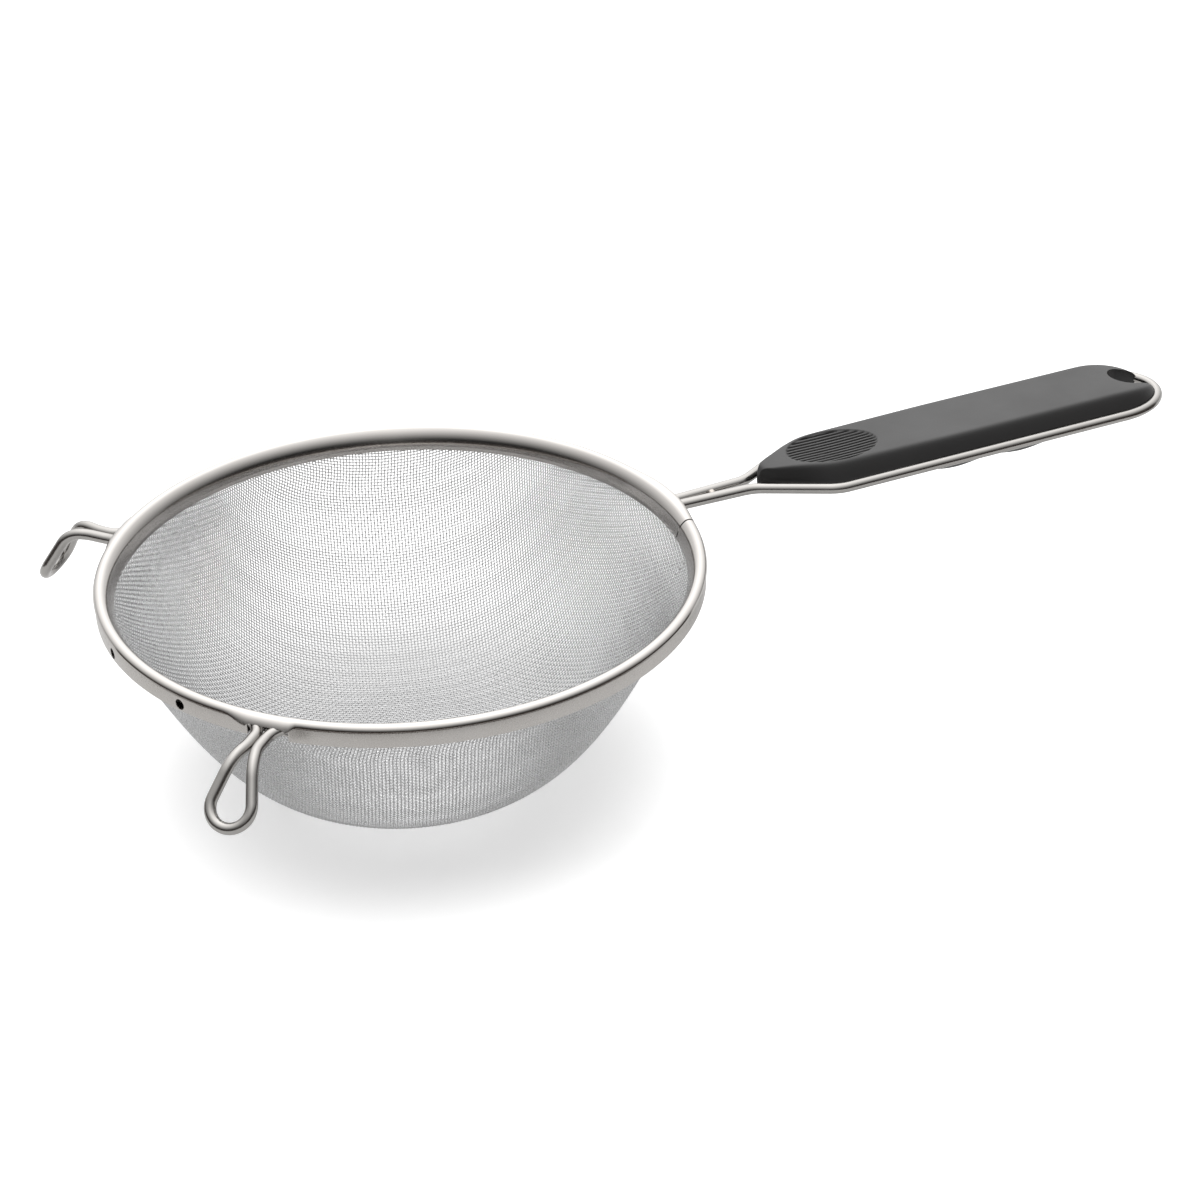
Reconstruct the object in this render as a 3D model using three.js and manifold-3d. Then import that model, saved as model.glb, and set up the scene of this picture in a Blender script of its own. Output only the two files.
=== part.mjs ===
// Fine mesh strainer: a woven wire bowl held in a folded steel rim, with a sprung wire handle
// in a moulded grip and two wire rest hooks. Millimetres, +Z up, +X along the handle.
// The origin is the middle of the flat on the underside of the bowl.
// Inside the assembly, heights are counted from the centre of the rim's rolled bead.

import * as THREE from "three";
import { mergeVertices } from "three/addons/utils/BufferGeometryUtils.js";
import Module from "manifold-3d";

const wasm = await Module();
wasm.setup();

// Driving dimensions of the rim
const RIM_TOP = 1.85;
const SHEET = 0.3;
const CREST_RADIUS = 78.1;
const BEAD_RADIUS = 1.65;
const BEAD_END = 10;
const CROWN_RADIUS = 2;
const CROWN_TURN = 42;
const ROLL_RADIUS = 5.7;
const ROLL_TURN = 77;
const CREASE_RADIUS = 79.35;
const CREASE_HEIGHT = 0.4;
const SKIRT_RADIUS = 79.6;
const SKIRT_TOP = 0.2;
const SKIRT_BOTTOM = -3.9;
const SKIRT_DRAFT = 0.1;
const HEM_RADIUS = 77.2;
const LIP_RADIUS = 74.9;
const LIP_TOP = -1.8;
const LIP_BOTTOM = -4.4;
const RIM_STEPS = 72;
const ROLL_STEPS = 4;
const BEAD_STEPS = 5;
const SEAM_AZIMUTH = -10.5;
const SEAM_GAP = 0.3;
const DRAIN_HOLE_RADIUS = 1.45;
const DRAIN_HOLE_HEIGHT = -2.1;
const DRAIN_HOLE_AZIMUTHS = [158, 180, 202.8];
const NOTCH_HALF_WIDTH = 5.5;
const NOTCH_TOP = 1;

// Driving dimensions of the bowl
const CLOTH = 0.6;
const EDGE_CLOTH = 0.8;
const CLOTH_TOP_RADIUS = 77.5;
const CLOTH_TOP = -3;
const CLOTH_BOTTOM = -60;
const PROFILE_SHOULDER = 0.66;
const PROFILE_BELLY = 0.245;
const BASE_FLAT_RADIUS = 11;
const WEAVE_PITCH = 9.6;
const WEAVE_BAR = 2.9;
const WEAVE_TURN = -16;
const PLAIN_EDGE = -5.4;
const CLAMPED_EDGE = -3.5;

// Driving dimensions of the frame wires
const WIRE_RADIUS = 1.5;
const WIRE_SIDES = 8;
const TAIL_RADIUS = 77.6;
const TAIL_HEIGHT = -0.75;
const TAIL_LENGTH = 15;
const EXIT_BEND = 3;
const TAIL_STEPS = 3;
const EXIT_STEPS = 5;

// Driving dimensions of the rest hooks
const HOOK_LEFT_AZIMUTH = -138.3;
const HOOK_RIGHT_AZIMUTH = 136.5;
const HOOK_LEG_GAP = 4.2;
const HOOK_EXIT_HEIGHT = -1.5;
const HOOK_BEND_AT = 88.7;
const HOOK_BEND_RADIUS = 8.7;
const HOOK_SLOPE = 48.8;
const HOOK_PINCH = 1.75;
const HOOK_PINCH_AT = 87;
const HOOK_EYE_RADIUS = 4.8;
const HOOK_EYE_AT = 103.8;
const HOOK_SHANK_STEPS = 8;
const HOOK_EYE_STEPS = 7;

// Driving dimensions of the handle
const NECK_LEG_GAP = 3.2;
const NECK_EXIT_HEIGHT = -2.77;
const HANDLE_DROOP = 0.0206;
const NECK_END = 104.5;
const NECK_END_HALF_WIDTH = 2.5;
const SHOULDER = 125.5;
const HANDLE_HALF_WIDTH = 13.9;
const END_BEND_START = 221.5;
const END_BEND_LENGTH = 18.7;
const NECK_FILLET = 12;
const WELD_CENTRE = 93;
const WELD_HALF_LENGTH = 3.2;
const WELD_HALF_WIDTH = 1.8;
const WELD_HALF_HEIGHT = 1.5;
const WELD_LIFT = 0.3;

// Driving dimensions of the grip
const GRIP_START = 107.5;
const GRIP_END = 236.9;
const FRONT_SETBACK = 0.9;
const REAR_SETBACK = 0.1;
const SETBACK_FROM = 128;
const SETBACK_TO = 170;
const NOSE_HALF_WIDTH = 2.4;
const NOSE_LENGTH = 4;
const NOSE_TOP = 0.62;
const NOSE_BELLY = 0.3;
const NOSE_NARROWING = 0.97;
const NOSE_THINNING = 0.9;
const TOP_SQUARENESS = 0.62;
const BELLY_SQUARENESS = 0.78;
const NOSE_RISE_FROM = 105;
const NOSE_RISE_TO = 134;
const DOME_START = 219.5;
const DOME_LENGTH = 17.9;
const GRIP_TOP = 6.3;
const GRIP_BELLY = 4.3;
const FINGER_BUMP = 1.5;
const FINGER_PITCH = 22;
const FIRST_BUMP = 165;
const BUMP_COUNT = 2;
const SECTION_POINTS = 28;
const SEAT_CLEARANCE = 0.2;
const HANG_NOTCH_X = 231;
const HANG_NOTCH_RADIUS = 5.7;
const HANG_NOTCH_MOUTH = 6.6;
const THUMB_PAD_X = 131.2;
const THUMB_PAD_LENGTH = 28.2;
const THUMB_PAD_WIDTH = 17.4;
const THUMB_PAD_DEPTH = 0.7;

const radians = THREE.MathUtils.degToRad;

const steel = (roughness) => new THREE.MeshStandardMaterial({ color: 0xc9c8c6, roughness, metalness: 1 });
const blackPlastic = new THREE.MeshStandardMaterial({ color: 0x232324, roughness: 0.5, metalness: 0 });

// Booleans: a geometry becomes a solid through its merged positions, and a solid becomes a geometry again.

function toSolid(geometry) {
  const bare = geometry.clone();
  bare.deleteAttribute("normal");
  bare.deleteAttribute("uv");
  const merged = mergeVertices(bare, 1e-4);
  return new wasm.Manifold(new wasm.Mesh({
    numProp: 3,
    vertProperties: new Float32Array(merged.attributes.position.array),
    triVerts: new Uint32Array(merged.index.array),
  }));
}

function toGeometry(solid) {
  const mesh = solid.getMesh();
  const geometry = new THREE.BufferGeometry();
  geometry.setAttribute("position", new THREE.BufferAttribute(new Float32Array(mesh.vertProperties), 3));
  geometry.setIndex(new THREE.BufferAttribute(new Uint32Array(mesh.triVerts), 1));
  geometry.computeVertexNormals();
  return geometry;
}

function namedMesh(name, geometry, material) {
  const mesh = new THREE.Mesh(geometry, material);
  mesh.name = name;
  return mesh;
}

// A wire's centre line, with its rings at chosen stations that lie close together only where it bends.
class WireRoute extends THREE.Curve {
  constructor(stations) {
    super();
    this.stations = stations;
  }

  get steps() {
    return this.stations.length - 1;
  }

  getPoint(t, target = new THREE.Vector3()) {
    const place = t * this.steps;
    const i = Math.min(Math.floor(place), this.steps - 1);
    return target.lerpVectors(this.stations[i], this.stations[i + 1], place - i);
  }

  getPointAt(u, target) {
    return this.getPoint(u, target);
  }

  getTangentAt(u, target = new THREE.Vector3()) {
    const i = Math.round(u * this.steps);
    target.set(0, 0, 0);
    for (const k of [i, i + 1]) {
      if (k > 0 && k <= this.steps) {
        target.add(this.stations[k].clone().sub(this.stations[k - 1]).normalize());
      }
    }
    return target.normalize();
  }
}

function wireGeometry(stations, radius) {
  const route = new WireRoute(stations);
  const section = new THREE.Shape();
  for (let i = 0; i < WIRE_SIDES; i += 1) {
    const angle = (2 * Math.PI * i) / WIRE_SIDES;
    const x = radius * Math.cos(angle);
    const y = radius * Math.sin(angle);
    if (i === 0) section.moveTo(x, y);
    else section.lineTo(x, y);
  }
  section.closePath();
  return new THREE.ExtrudeGeometry(section, { steps: route.steps, extrudePath: route });
}

const mirroredInY = (stations) => stations.map((p) => new THREE.Vector3(p.x, -p.y, p.z)).reverse();

// One leg's way out of the rim, in a frame whose +X points out through the notch: a tail clamped
// inside the bead, then a bend that touches the tail's circle and ends heading along +X.
function rimExit(lateral, exitHeight) {
  const centreY = lateral + EXIT_BEND;
  const centreX = Math.sqrt((TAIL_RADIUS + EXIT_BEND) ** 2 - centreY ** 2);
  const bearing = Math.atan2(centreY, centreX);
  const stations = [];
  for (let i = 0; i < TAIL_STEPS; i += 1) {
    const angle = bearing + (TAIL_LENGTH / TAIL_RADIUS) * (1 - i / TAIL_STEPS);
    stations.push(new THREE.Vector3(TAIL_RADIUS * Math.cos(angle), TAIL_RADIUS * Math.sin(angle), TAIL_HEIGHT));
  }
  const sweep = Math.PI / 2 - bearing;
  for (let i = 0; i <= EXIT_STEPS; i += 1) {
    const angle = Math.PI + bearing + (sweep * i) / EXIT_STEPS;
    const drop = Math.sin((Math.PI / 2) * (i / EXIT_STEPS)) ** 2;
    stations.push(new THREE.Vector3(
      centreX + EXIT_BEND * Math.cos(angle),
      centreY + EXIT_BEND * Math.sin(angle),
      THREE.MathUtils.lerp(TAIL_HEIGHT, exitHeight, drop),
    ));
  }
  return stations;
}

// Rim: one steel strip rolled over at the top, with a short skirt outside and a lip inside the cloth.

// The rolled top, from the lip over the crest to the crease above the skirt, set inside the strip's face.
function rolledTop(inset) {
  const arc = (x, y, radius, from, to, steps) => {
    const points = [];
    for (let i = 0; i <= steps; i += 1) {
      const angle = radians(from + ((to - from) * i) / steps);
      points.push(new THREE.Vector2(x + (radius - inset) * Math.cos(angle), y + (radius - inset) * Math.sin(angle)));
    }
    return points;
  };
  const turn = radians(CROWN_TURN);
  const crownHeight = RIM_TOP - CROWN_RADIUS;
  const gap = ROLL_RADIUS - CROWN_RADIUS;
  const rollX = CREST_RADIUS + gap * Math.sin(turn);
  const rollY = crownHeight - gap * Math.cos(turn);
  return [
    ...arc(rollX, rollY, ROLL_RADIUS, 90 + ROLL_TURN, 90 + CROWN_TURN, ROLL_STEPS),
    ...arc(CREST_RADIUS, crownHeight, CROWN_RADIUS, 90 + CROWN_TURN, 90, ROLL_STEPS).slice(1),
    ...arc(CREST_RADIUS, RIM_TOP - BEAD_RADIUS, BEAD_RADIUS, 90, BEAD_END, BEAD_STEPS).slice(1),
    new THREE.Vector2(CREASE_RADIUS - inset, CREASE_HEIGHT - inset / 2),
  ];
}

// The strip's section: its lower edges are turned in, the skirt's as a hem and the lip's left plain.
function bandProfile() {
  const low = SKIRT_RADIUS - SKIRT_DRAFT;
  const inner = [
    new THREE.Vector2(LIP_RADIUS + SHEET, LIP_BOTTOM),
    new THREE.Vector2(LIP_RADIUS + SHEET, LIP_TOP - SHEET),
    ...rolledTop(SHEET),
    new THREE.Vector2(SKIRT_RADIUS - SHEET, SKIRT_TOP - SHEET),
    new THREE.Vector2(low - SHEET, SKIRT_BOTTOM + SHEET),
    new THREE.Vector2(HEM_RADIUS, SKIRT_BOTTOM + SHEET),
  ];
  const outer = [
    new THREE.Vector2(LIP_RADIUS, LIP_BOTTOM),
    new THREE.Vector2(LIP_RADIUS, LIP_TOP),
    ...rolledTop(0),
    new THREE.Vector2(SKIRT_RADIUS, SKIRT_TOP),
    new THREE.Vector2(low, SKIRT_BOTTOM),
    new THREE.Vector2(HEM_RADIUS, SKIRT_BOTTOM),
  ];
  return [...inner, ...outer.reverse(), inner[0].clone()];
}

// A block that stands across the band at an azimuth, between two radii and two heights.
function rimBlock(azimuth, halfWidth, radii, heights) {
  const block = new THREE.BoxGeometry(radii[1] - radii[0], 2 * halfWidth, heights[1] - heights[0]);
  block.translate((radii[0] + radii[1]) / 2, 0, (heights[0] + heights[1]) / 2);
  block.rotateZ(radians(azimuth));
  return toSolid(block);
}

function rimBand() {
  const lathe = new THREE.LatheGeometry(bandProfile(), RIM_STEPS);
  lathe.rotateX(Math.PI / 2);
  let band = toSolid(lathe);
  const outside = SKIRT_RADIUS + BEAD_RADIUS;
  const hollow = [HEM_RADIUS - SHEET, outside];
  for (const azimuth of [0, HOOK_LEFT_AZIMUTH, HOOK_RIGHT_AZIMUTH]) {
    band = band.subtract(rimBlock(azimuth, NOTCH_HALF_WIDTH, hollow, [2 * LIP_BOTTOM, NOTCH_TOP]));
  }
  const inside = LIP_RADIUS - BEAD_RADIUS;
  const above = 2 * RIM_TOP;
  band = band.subtract(rimBlock(SEAM_AZIMUTH, SEAM_GAP / 2, [inside, outside], [2 * LIP_BOTTOM, above]));
  for (const azimuth of DRAIN_HOLE_AZIMUTHS) {
    const drill = new THREE.CylinderGeometry(DRAIN_HOLE_RADIUS, DRAIN_HOLE_RADIUS, outside - CREST_RADIUS, 10);
    drill.rotateZ(Math.PI / 2);
    drill.translate((outside + CREST_RADIUS) / 2, 0, DRAIN_HOLE_HEIGHT);
    drill.rotateZ(radians(azimuth));
    band = band.subtract(toSolid(drill));
  }
  return toGeometry(band);
}

// Bowl: the cloth's middle surface is a revolve whose profile runs from the base up to the rim.

function profileHeight(radius) {
  const share = (1 - (radius / CLOTH_TOP_RADIUS) ** (1 / PROFILE_BELLY)) ** (1 / PROFILE_SHOULDER);
  return CLOTH_TOP + (CLOTH_BOTTOM - CLOTH_TOP) * share;
}

const BASE_HEIGHT = profileHeight(BASE_FLAT_RADIUS);

class BowlProfile extends THREE.Curve {
  getPoint(t, target = new THREE.Vector3()) {
    const radius = CLOTH_TOP_RADIUS * Math.sin((t * Math.PI) / 2);
    return target.set(radius, 0, Math.max(profileHeight(radius), BASE_HEIGHT));
  }
}

const bowlProfile = new BowlProfile();
bowlProfile.arcLengthDivisions = 2000;
const BOWL_REACH = bowlProfile.getLength();

// How far up the wall, along the cloth from the base, a height below the bead lies.
function reachAtHeight(height) {
  let low = 0;
  let high = 1;
  while (high - low > 1e-6) {
    const middle = (low + high) / 2;
    if (bowlProfile.getPointAt(middle).z < height) low = middle;
    else high = middle;
  }
  return low * BOWL_REACH;
}

// A point of the flat cloth, pressed onto the bowl and moved out of the middle surface by offset.
// Cloth that reaches past the rim goes straight up.
function pressed(x, y, offset) {
  const reach = Math.hypot(x, y);
  const azimuth = Math.atan2(y, x) + radians(WEAVE_TURN);
  const share = Math.min(reach / BOWL_REACH, 1);
  const place = bowlProfile.getPointAt(share);
  const tangent = bowlProfile.getTangentAt(share);
  const radius = place.x + offset * tangent.z;
  const height = place.z - offset * tangent.x + Math.max(0, reach - BOWL_REACH);
  return [radius * Math.cos(azimuth), radius * Math.sin(azimuth), height];
}

// Grid lines of the flat cloth come in pairs, one on each side of a bar, so that cells with an even
// number are bars and cells with an odd number are gaps.
function gridLine(k) {
  const pair = Math.floor(k / 2);
  return pair * WEAVE_PITCH + (k === 2 * pair ? -WEAVE_BAR : WEAVE_BAR) / 2;
}

// Square gaps between crossing bars, laid out until they pass the rim and closed to one solid.
function wovenGrid() {
  const span = 2 * Math.ceil(BOWL_REACH / WEAVE_PITCH) + 2;
  const key = (a, b) => `${a},${b}`;
  const open = new Set();
  for (let a = -span + 1; a < span; a += 2) {
    for (let b = -span + 1; b < span; b += 2) {
      const near = Math.hypot(
        Math.min(Math.abs(gridLine(a)), Math.abs(gridLine(a + 1))),
        Math.min(Math.abs(gridLine(b)), Math.abs(gridLine(b + 1))),
      );
      if (near < BOWL_REACH) open.add(key(a, b));
    }
  }

  const bars = new Set();
  for (const gap of open) {
    const [a, b] = gap.split(",").map(Number);
    for (let da = -1; da <= 1; da += 1) {
      for (let db = -1; db <= 1; db += 1) {
        const cell = key(a + da, b + db);
        if (!open.has(cell)) bars.add(cell);
      }
    }
  }

  const positions = [];
  const indices = [];
  const found = new Map();
  const vertex = ([a, b], side) => {
    const id = `${a},${b},${side}`;
    if (!found.has(id)) {
      found.set(id, positions.length / 3);
      positions.push(...pressed(gridLine(a), gridLine(b), (side * CLOTH) / 2));
    }
    return found.get(id);
  };
  const quad = (p, q, r, s) => indices.push(p, q, r, p, r, s);
  for (const cell of bars) {
    const [a, b] = cell.split(",").map(Number);
    const ring = [[a, b], [a + 1, b], [a + 1, b + 1], [a, b + 1]];
    quad(...ring.map((corner) => vertex(corner, -1)));
    quad(...ring.map((corner) => vertex(corner, 1)).reverse());
    const neighbours = [[a, b - 1], [a + 1, b], [a, b + 1], [a - 1, b]];
    neighbours.forEach((neighbour, i) => {
      if (bars.has(key(...neighbour))) return;
      const start = ring[i];
      const end = ring[(i + 1) % 4];
      quad(vertex(start, 1), vertex(end, 1), vertex(end, -1), vertex(start, -1));
    });
  }
  const geometry = new THREE.BufferGeometry();
  geometry.setAttribute("position", new THREE.Float32BufferAttribute(positions, 3));
  geometry.setIndex(indices);
  return toSolid(geometry);
}

// The plain edge that the rim clamps, a little thicker than the grid that it holds together.
function clothEdge() {
  const reaches = [PLAIN_EDGE, CLAMPED_EDGE].map(reachAtHeight);
  const [lowOut, highOut] = reaches.map((reach) => edgePoint(reach, EDGE_CLOTH / 2));
  const [lowIn, highIn] = reaches.map((reach) => edgePoint(reach, -EDGE_CLOTH / 2));
  const lathe = new THREE.LatheGeometry([lowIn, lowOut, highOut, highIn, lowIn.clone()], RIM_STEPS);
  lathe.rotateX(Math.PI / 2);
  return toSolid(lathe);
}

function edgePoint(reach, offset) {
  const [x, y, z] = pressed(reach, 0, offset);
  return new THREE.Vector2(Math.hypot(x, y), z);
}

// The bowl: the grid, cut off level inside the plain edge and joined to it.
function meshBowl() {
  const width = 4 * CLOTH_TOP_RADIUS;
  const waste = new THREE.BoxGeometry(width, width, width);
  waste.translate(0, 0, width / 2 + PLAIN_EDGE + CLOTH / 2);
  return toGeometry(wovenGrid().subtract(toSolid(waste)).add(clothEdge()));
}

// Rest hooks: each is a teardrop of wire, laid out flat and then bent down along its length.

// A point of the flat teardrop, carried along the hook's side view: level, then a bend, then a slope.
function hookPoint(run, lateral) {
  const slope = radians(HOOK_SLOPE);
  const turned = THREE.MathUtils.clamp((run - HOOK_BEND_AT) / HOOK_BEND_RADIUS, 0, slope);
  const level = Math.min(run, HOOK_BEND_AT);
  const sloping = Math.max(0, run - HOOK_BEND_AT - HOOK_BEND_RADIUS * slope);
  const x = level + HOOK_BEND_RADIUS * Math.sin(turned) + sloping * Math.cos(slope);
  const drop = HOOK_BEND_RADIUS * (1 - Math.cos(turned)) + sloping * Math.sin(slope);
  return new THREE.Vector3(x, lateral, HOOK_EXIT_HEIGHT - drop);
}

// Half of the teardrop: the legs pinch together outside the rim and then run tangent to a round eye.
function hookWire() {
  const half = [...rimExit(HOOK_LEG_GAP / 2, HOOK_EXIT_HEIGHT)];
  const reach = HOOK_EYE_AT - HOOK_PINCH_AT;
  const spread = Math.asin(HOOK_EYE_RADIUS / Math.hypot(reach, HOOK_PINCH)) - Math.atan2(HOOK_PINCH, reach);
  const shank = Math.sqrt(reach ** 2 + HOOK_PINCH ** 2 - HOOK_EYE_RADIUS ** 2);
  for (let i = 0; i < HOOK_SHANK_STEPS; i += 1) {
    const along = (shank * i) / HOOK_SHANK_STEPS;
    half.push(hookPoint(HOOK_PINCH_AT + along * Math.cos(spread), HOOK_PINCH + along * Math.sin(spread)));
  }
  for (let i = 0; i <= HOOK_EYE_STEPS; i += 1) {
    const angle = (Math.PI / 2 + spread) * (1 - i / HOOK_EYE_STEPS);
    half.push(hookPoint(HOOK_EYE_AT + HOOK_EYE_RADIUS * Math.cos(angle), HOOK_EYE_RADIUS * Math.sin(angle)));
  }
  return wireGeometry([...half, ...mirroredInY(half.slice(0, -1))], WIRE_RADIUS);
}

// Handle: one wire, bent double, whose two legs run side by side at the neck and open out round the grip.

const handleHeight = (x) => NECK_EXIT_HEIGHT - HANDLE_DROOP * (x - TAIL_RADIUS - EXIT_BEND);

// Stations of a rounded corner between two straight stretches, in the handle's plane.
function fillet(before, corner, after, radius, steps) {
  const into = corner.clone().sub(before).normalize();
  const out = after.clone().sub(corner).normalize();
  const setback = radius * Math.tan(into.angleTo(out) / 2);
  const start = corner.clone().addScaledVector(into, -setback);
  const end = corner.clone().addScaledVector(out, setback);
  return new THREE.QuadraticBezierCurve(start, corner, end).getPoints(steps);
}

function handleLegPlan() {
  const start = new THREE.Vector2(TAIL_RADIUS + EXIT_BEND, NECK_LEG_GAP / 2);
  const neckEnd = new THREE.Vector2(NECK_END, NECK_END_HALF_WIDTH);
  const shoulder = new THREE.Vector2(SHOULDER, HANDLE_HALF_WIDTH);
  const endBend = new THREE.Vector2(END_BEND_START, HANDLE_HALF_WIDTH);
  const round = new THREE.EllipseCurve(END_BEND_START, 0, END_BEND_LENGTH, HANDLE_HALF_WIDTH, Math.PI / 2, 0, true);
  return [
    ...fillet(start, neckEnd, shoulder, NECK_FILLET, 4),
    ...fillet(neckEnd, shoulder, endBend, NECK_FILLET, 4),
    ...round.getSpacedPoints(8),
  ];
}

function handleStations(withTails) {
  const leg = handleLegPlan().map((p) => new THREE.Vector3(p.x, p.y, handleHeight(p.x)));
  const half = withTails ? [...rimExit(NECK_LEG_GAP / 2, NECK_EXIT_HEIGHT), ...leg] : leg;
  return [...half, ...mirroredInY(half.slice(0, -1))];
}

function neckWeld() {
  const drop = new THREE.SphereGeometry(1, 12, 8);
  drop.scale(WELD_HALF_LENGTH, WELD_HALF_WIDTH, WELD_HALF_HEIGHT);
  drop.translate(WELD_CENTRE, 0, handleHeight(WELD_CENTRE) + WELD_LIFT);
  const seats = wireGeometry(handleStations(true), WIRE_RADIUS + SEAT_CLEARANCE / 2);
  return toGeometry(toSolid(drop).subtract(toSolid(seats)));
}

// Grip: a loft along the handle whose sections have a flat crown, a rounded belly and two finger bumps.

const smooth = (x, from, to) => THREE.MathUtils.smoothstep(x, from, to);

// How far the grip's side lies inside the wire's centre line: less towards the end, where it laps the wire.
const setback = (x) => THREE.MathUtils.lerp(FRONT_SETBACK, REAR_SETBACK, smooth(x, SETBACK_FROM, SETBACK_TO));

// The end is domed like an ellipse, both above and below.
const dome = (x) => Math.sqrt(1 - (Math.max(0, x - DOME_START) / DOME_LENGTH) ** 2);

function gripHalfWidth(x) {
  const full = HANDLE_HALF_WIDTH - setback(x);
  if (x < SHOULDER) {
    return THREE.MathUtils.mapLinear(x, GRIP_START, SHOULDER, NOSE_HALF_WIDTH, full);
  }
  const past = Math.max(0, x - END_BEND_START) / (END_BEND_LENGTH - REAR_SETBACK);
  return full * Math.sqrt(1 - past ** 2);
}

function gripTop(x) {
  const rise = THREE.MathUtils.clamp((x - NOSE_RISE_FROM) / (NOSE_RISE_TO - NOSE_RISE_FROM), 0, 1);
  return GRIP_TOP * THREE.MathUtils.lerp(NOSE_TOP, 1, Math.sin((Math.PI / 2) * rise)) * dome(x);
}

function gripBelly(x) {
  const nose = THREE.MathUtils.lerp(NOSE_BELLY, 1, smooth(x, GRIP_START - 4, SHOULDER + 10));
  const place = (x - FIRST_BUMP) / FINGER_PITCH + 0.5;
  const bumps = place > 0 && place < BUMP_COUNT ? Math.sin(Math.PI * place) ** 2 : 0;
  return GRIP_BELLY * nose * dome(x) + FINGER_BUMP * bumps;
}

function gripSection(x) {
  const tip = THREE.MathUtils.clamp((GRIP_START + NOSE_LENGTH - x) / NOSE_LENGTH, 0, 1);
  const narrowing = Math.sqrt(1 - NOSE_NARROWING * tip ** 2);
  const thinning = Math.sqrt(1 - NOSE_THINNING * tip ** 6);
  const section = [];
  for (let i = 0; i < SECTION_POINTS; i += 1) {
    const angle = (2 * Math.PI * i) / SECTION_POINTS;
    const c = Math.cos(angle);
    const s = Math.sin(angle);
    const squareness = s >= 0 ? TOP_SQUARENESS : BELLY_SQUARENESS;
    const y = gripHalfWidth(x) * narrowing * Math.sign(c) * Math.abs(c) ** squareness;
    const depth = (s >= 0 ? gripTop(x) : gripBelly(x)) * thinning;
    section.push([x, y, handleHeight(x) + depth * Math.sign(s) * Math.abs(s) ** squareness]);
  }
  return section;
}

function loft(sections) {
  const count = sections[0].length;
  const positions = sections.flat(2);
  const indices = [];
  for (let k = 1; k < sections.length; k += 1) {
    for (let i = 0; i < count; i += 1) {
      const a = (k - 1) * count + i;
      const b = (k - 1) * count + ((i + 1) % count);
      indices.push(a, b, b + count, a, b + count, a + count);
    }
  }
  const last = (sections.length - 1) * count;
  for (let i = 2; i < count; i += 1) {
    indices.push(0, i, i - 1);
    indices.push(last, last + i - 1, last + i);
  }
  const geometry = new THREE.BufferGeometry();
  geometry.setAttribute("position", new THREE.Float32BufferAttribute(positions, 3));
  geometry.setIndex(indices);
  return geometry;
}

function gripStations() {
  const nose = [GRIP_START, 107.9, 109, 110.2, GRIP_START + NOSE_LENGTH, 116, 120, SHOULDER, 130, 135, 142, 150];
  const bumps = [];
  for (let i = 0; i <= 4 * BUMP_COUNT; i += 1) {
    bumps.push(FIRST_BUMP + FINGER_PITCH * (i / 4 - 0.5));
  }
  const end = [210, DOME_START, 223.5, 227, 230, 232.5, 234.5, 236, GRIP_END];
  return [...nose, ...bumps, ...end];
}

function hangNotch() {
  const outline = new THREE.Shape();
  const past = GRIP_END + 2 * HANG_NOTCH_RADIUS;
  outline.moveTo(HANG_NOTCH_X, -HANG_NOTCH_RADIUS);
  outline.lineTo(past, -HANG_NOTCH_MOUTH);
  outline.lineTo(past, HANG_NOTCH_MOUTH);
  outline.lineTo(HANG_NOTCH_X, HANG_NOTCH_RADIUS);
  outline.absarc(HANG_NOTCH_X, 0, HANG_NOTCH_RADIUS, Math.PI / 2, (3 * Math.PI) / 2, false);
  const height = 4 * GRIP_TOP;
  const cutter = new THREE.ExtrudeGeometry(outline, { depth: height, bevelEnabled: false, curveSegments: 8 });
  cutter.translate(0, 0, handleHeight(HANG_NOTCH_X) - height / 2);
  return toSolid(cutter);
}

// The thumb pad is a shallow dish: the cap of an ellipsoid that dips into the crown.
function thumbDish() {
  const rise = 5;
  const share = Math.sqrt(1 - (1 - THUMB_PAD_DEPTH / rise) ** 2);
  const dish = new THREE.SphereGeometry(1, 24, 16);
  dish.scale(THUMB_PAD_LENGTH / 2 / share, THUMB_PAD_WIDTH / 2 / share, rise);
  dish.translate(THUMB_PAD_X, 0, handleHeight(THUMB_PAD_X) + GRIP_TOP + rise - THUMB_PAD_DEPTH);
  return toSolid(dish);
}

function grip() {
  const body = toSolid(loft(gripStations().map(gripSection)));
  const groove = toSolid(wireGeometry(handleStations(false), WIRE_RADIUS + SEAT_CLEARANCE));
  return toGeometry(body.subtract(groove).subtract(hangNotch()).subtract(thumbDish()));
}

// Assembly

const strainer = new THREE.Group();
strainer.position.z = CLOTH / 2 - BASE_HEIGHT;
strainer.add(namedMesh("mesh_bowl", meshBowl(), steel(0.35)));
strainer.add(namedMesh("rim_band", rimBand(), steel(0.12)));
strainer.add(namedMesh("handle_wire", wireGeometry(handleStations(true), WIRE_RADIUS), steel(0.18)));
strainer.add(namedMesh("neck_weld", neckWeld(), steel(0.3)));
strainer.add(namedMesh("grip", grip(), blackPlastic));
for (const [name, azimuth] of [["hook_left", HOOK_LEFT_AZIMUTH], ["hook_right", HOOK_RIGHT_AZIMUTH]]) {
  const hook = namedMesh(name, hookWire(), steel(0.18));
  hook.rotation.z = radians(azimuth);
  strainer.add(hook);
}

export default strainer;
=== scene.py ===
"""Looks of a fine mesh strainer: woven bowl, folded rim, two rest hooks and a wire handle with its grip."""

import logging
import math
from dataclasses import dataclass
from enum import Enum

import bpy
import numpy as np
from mathutils import Matrix, Vector


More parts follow.
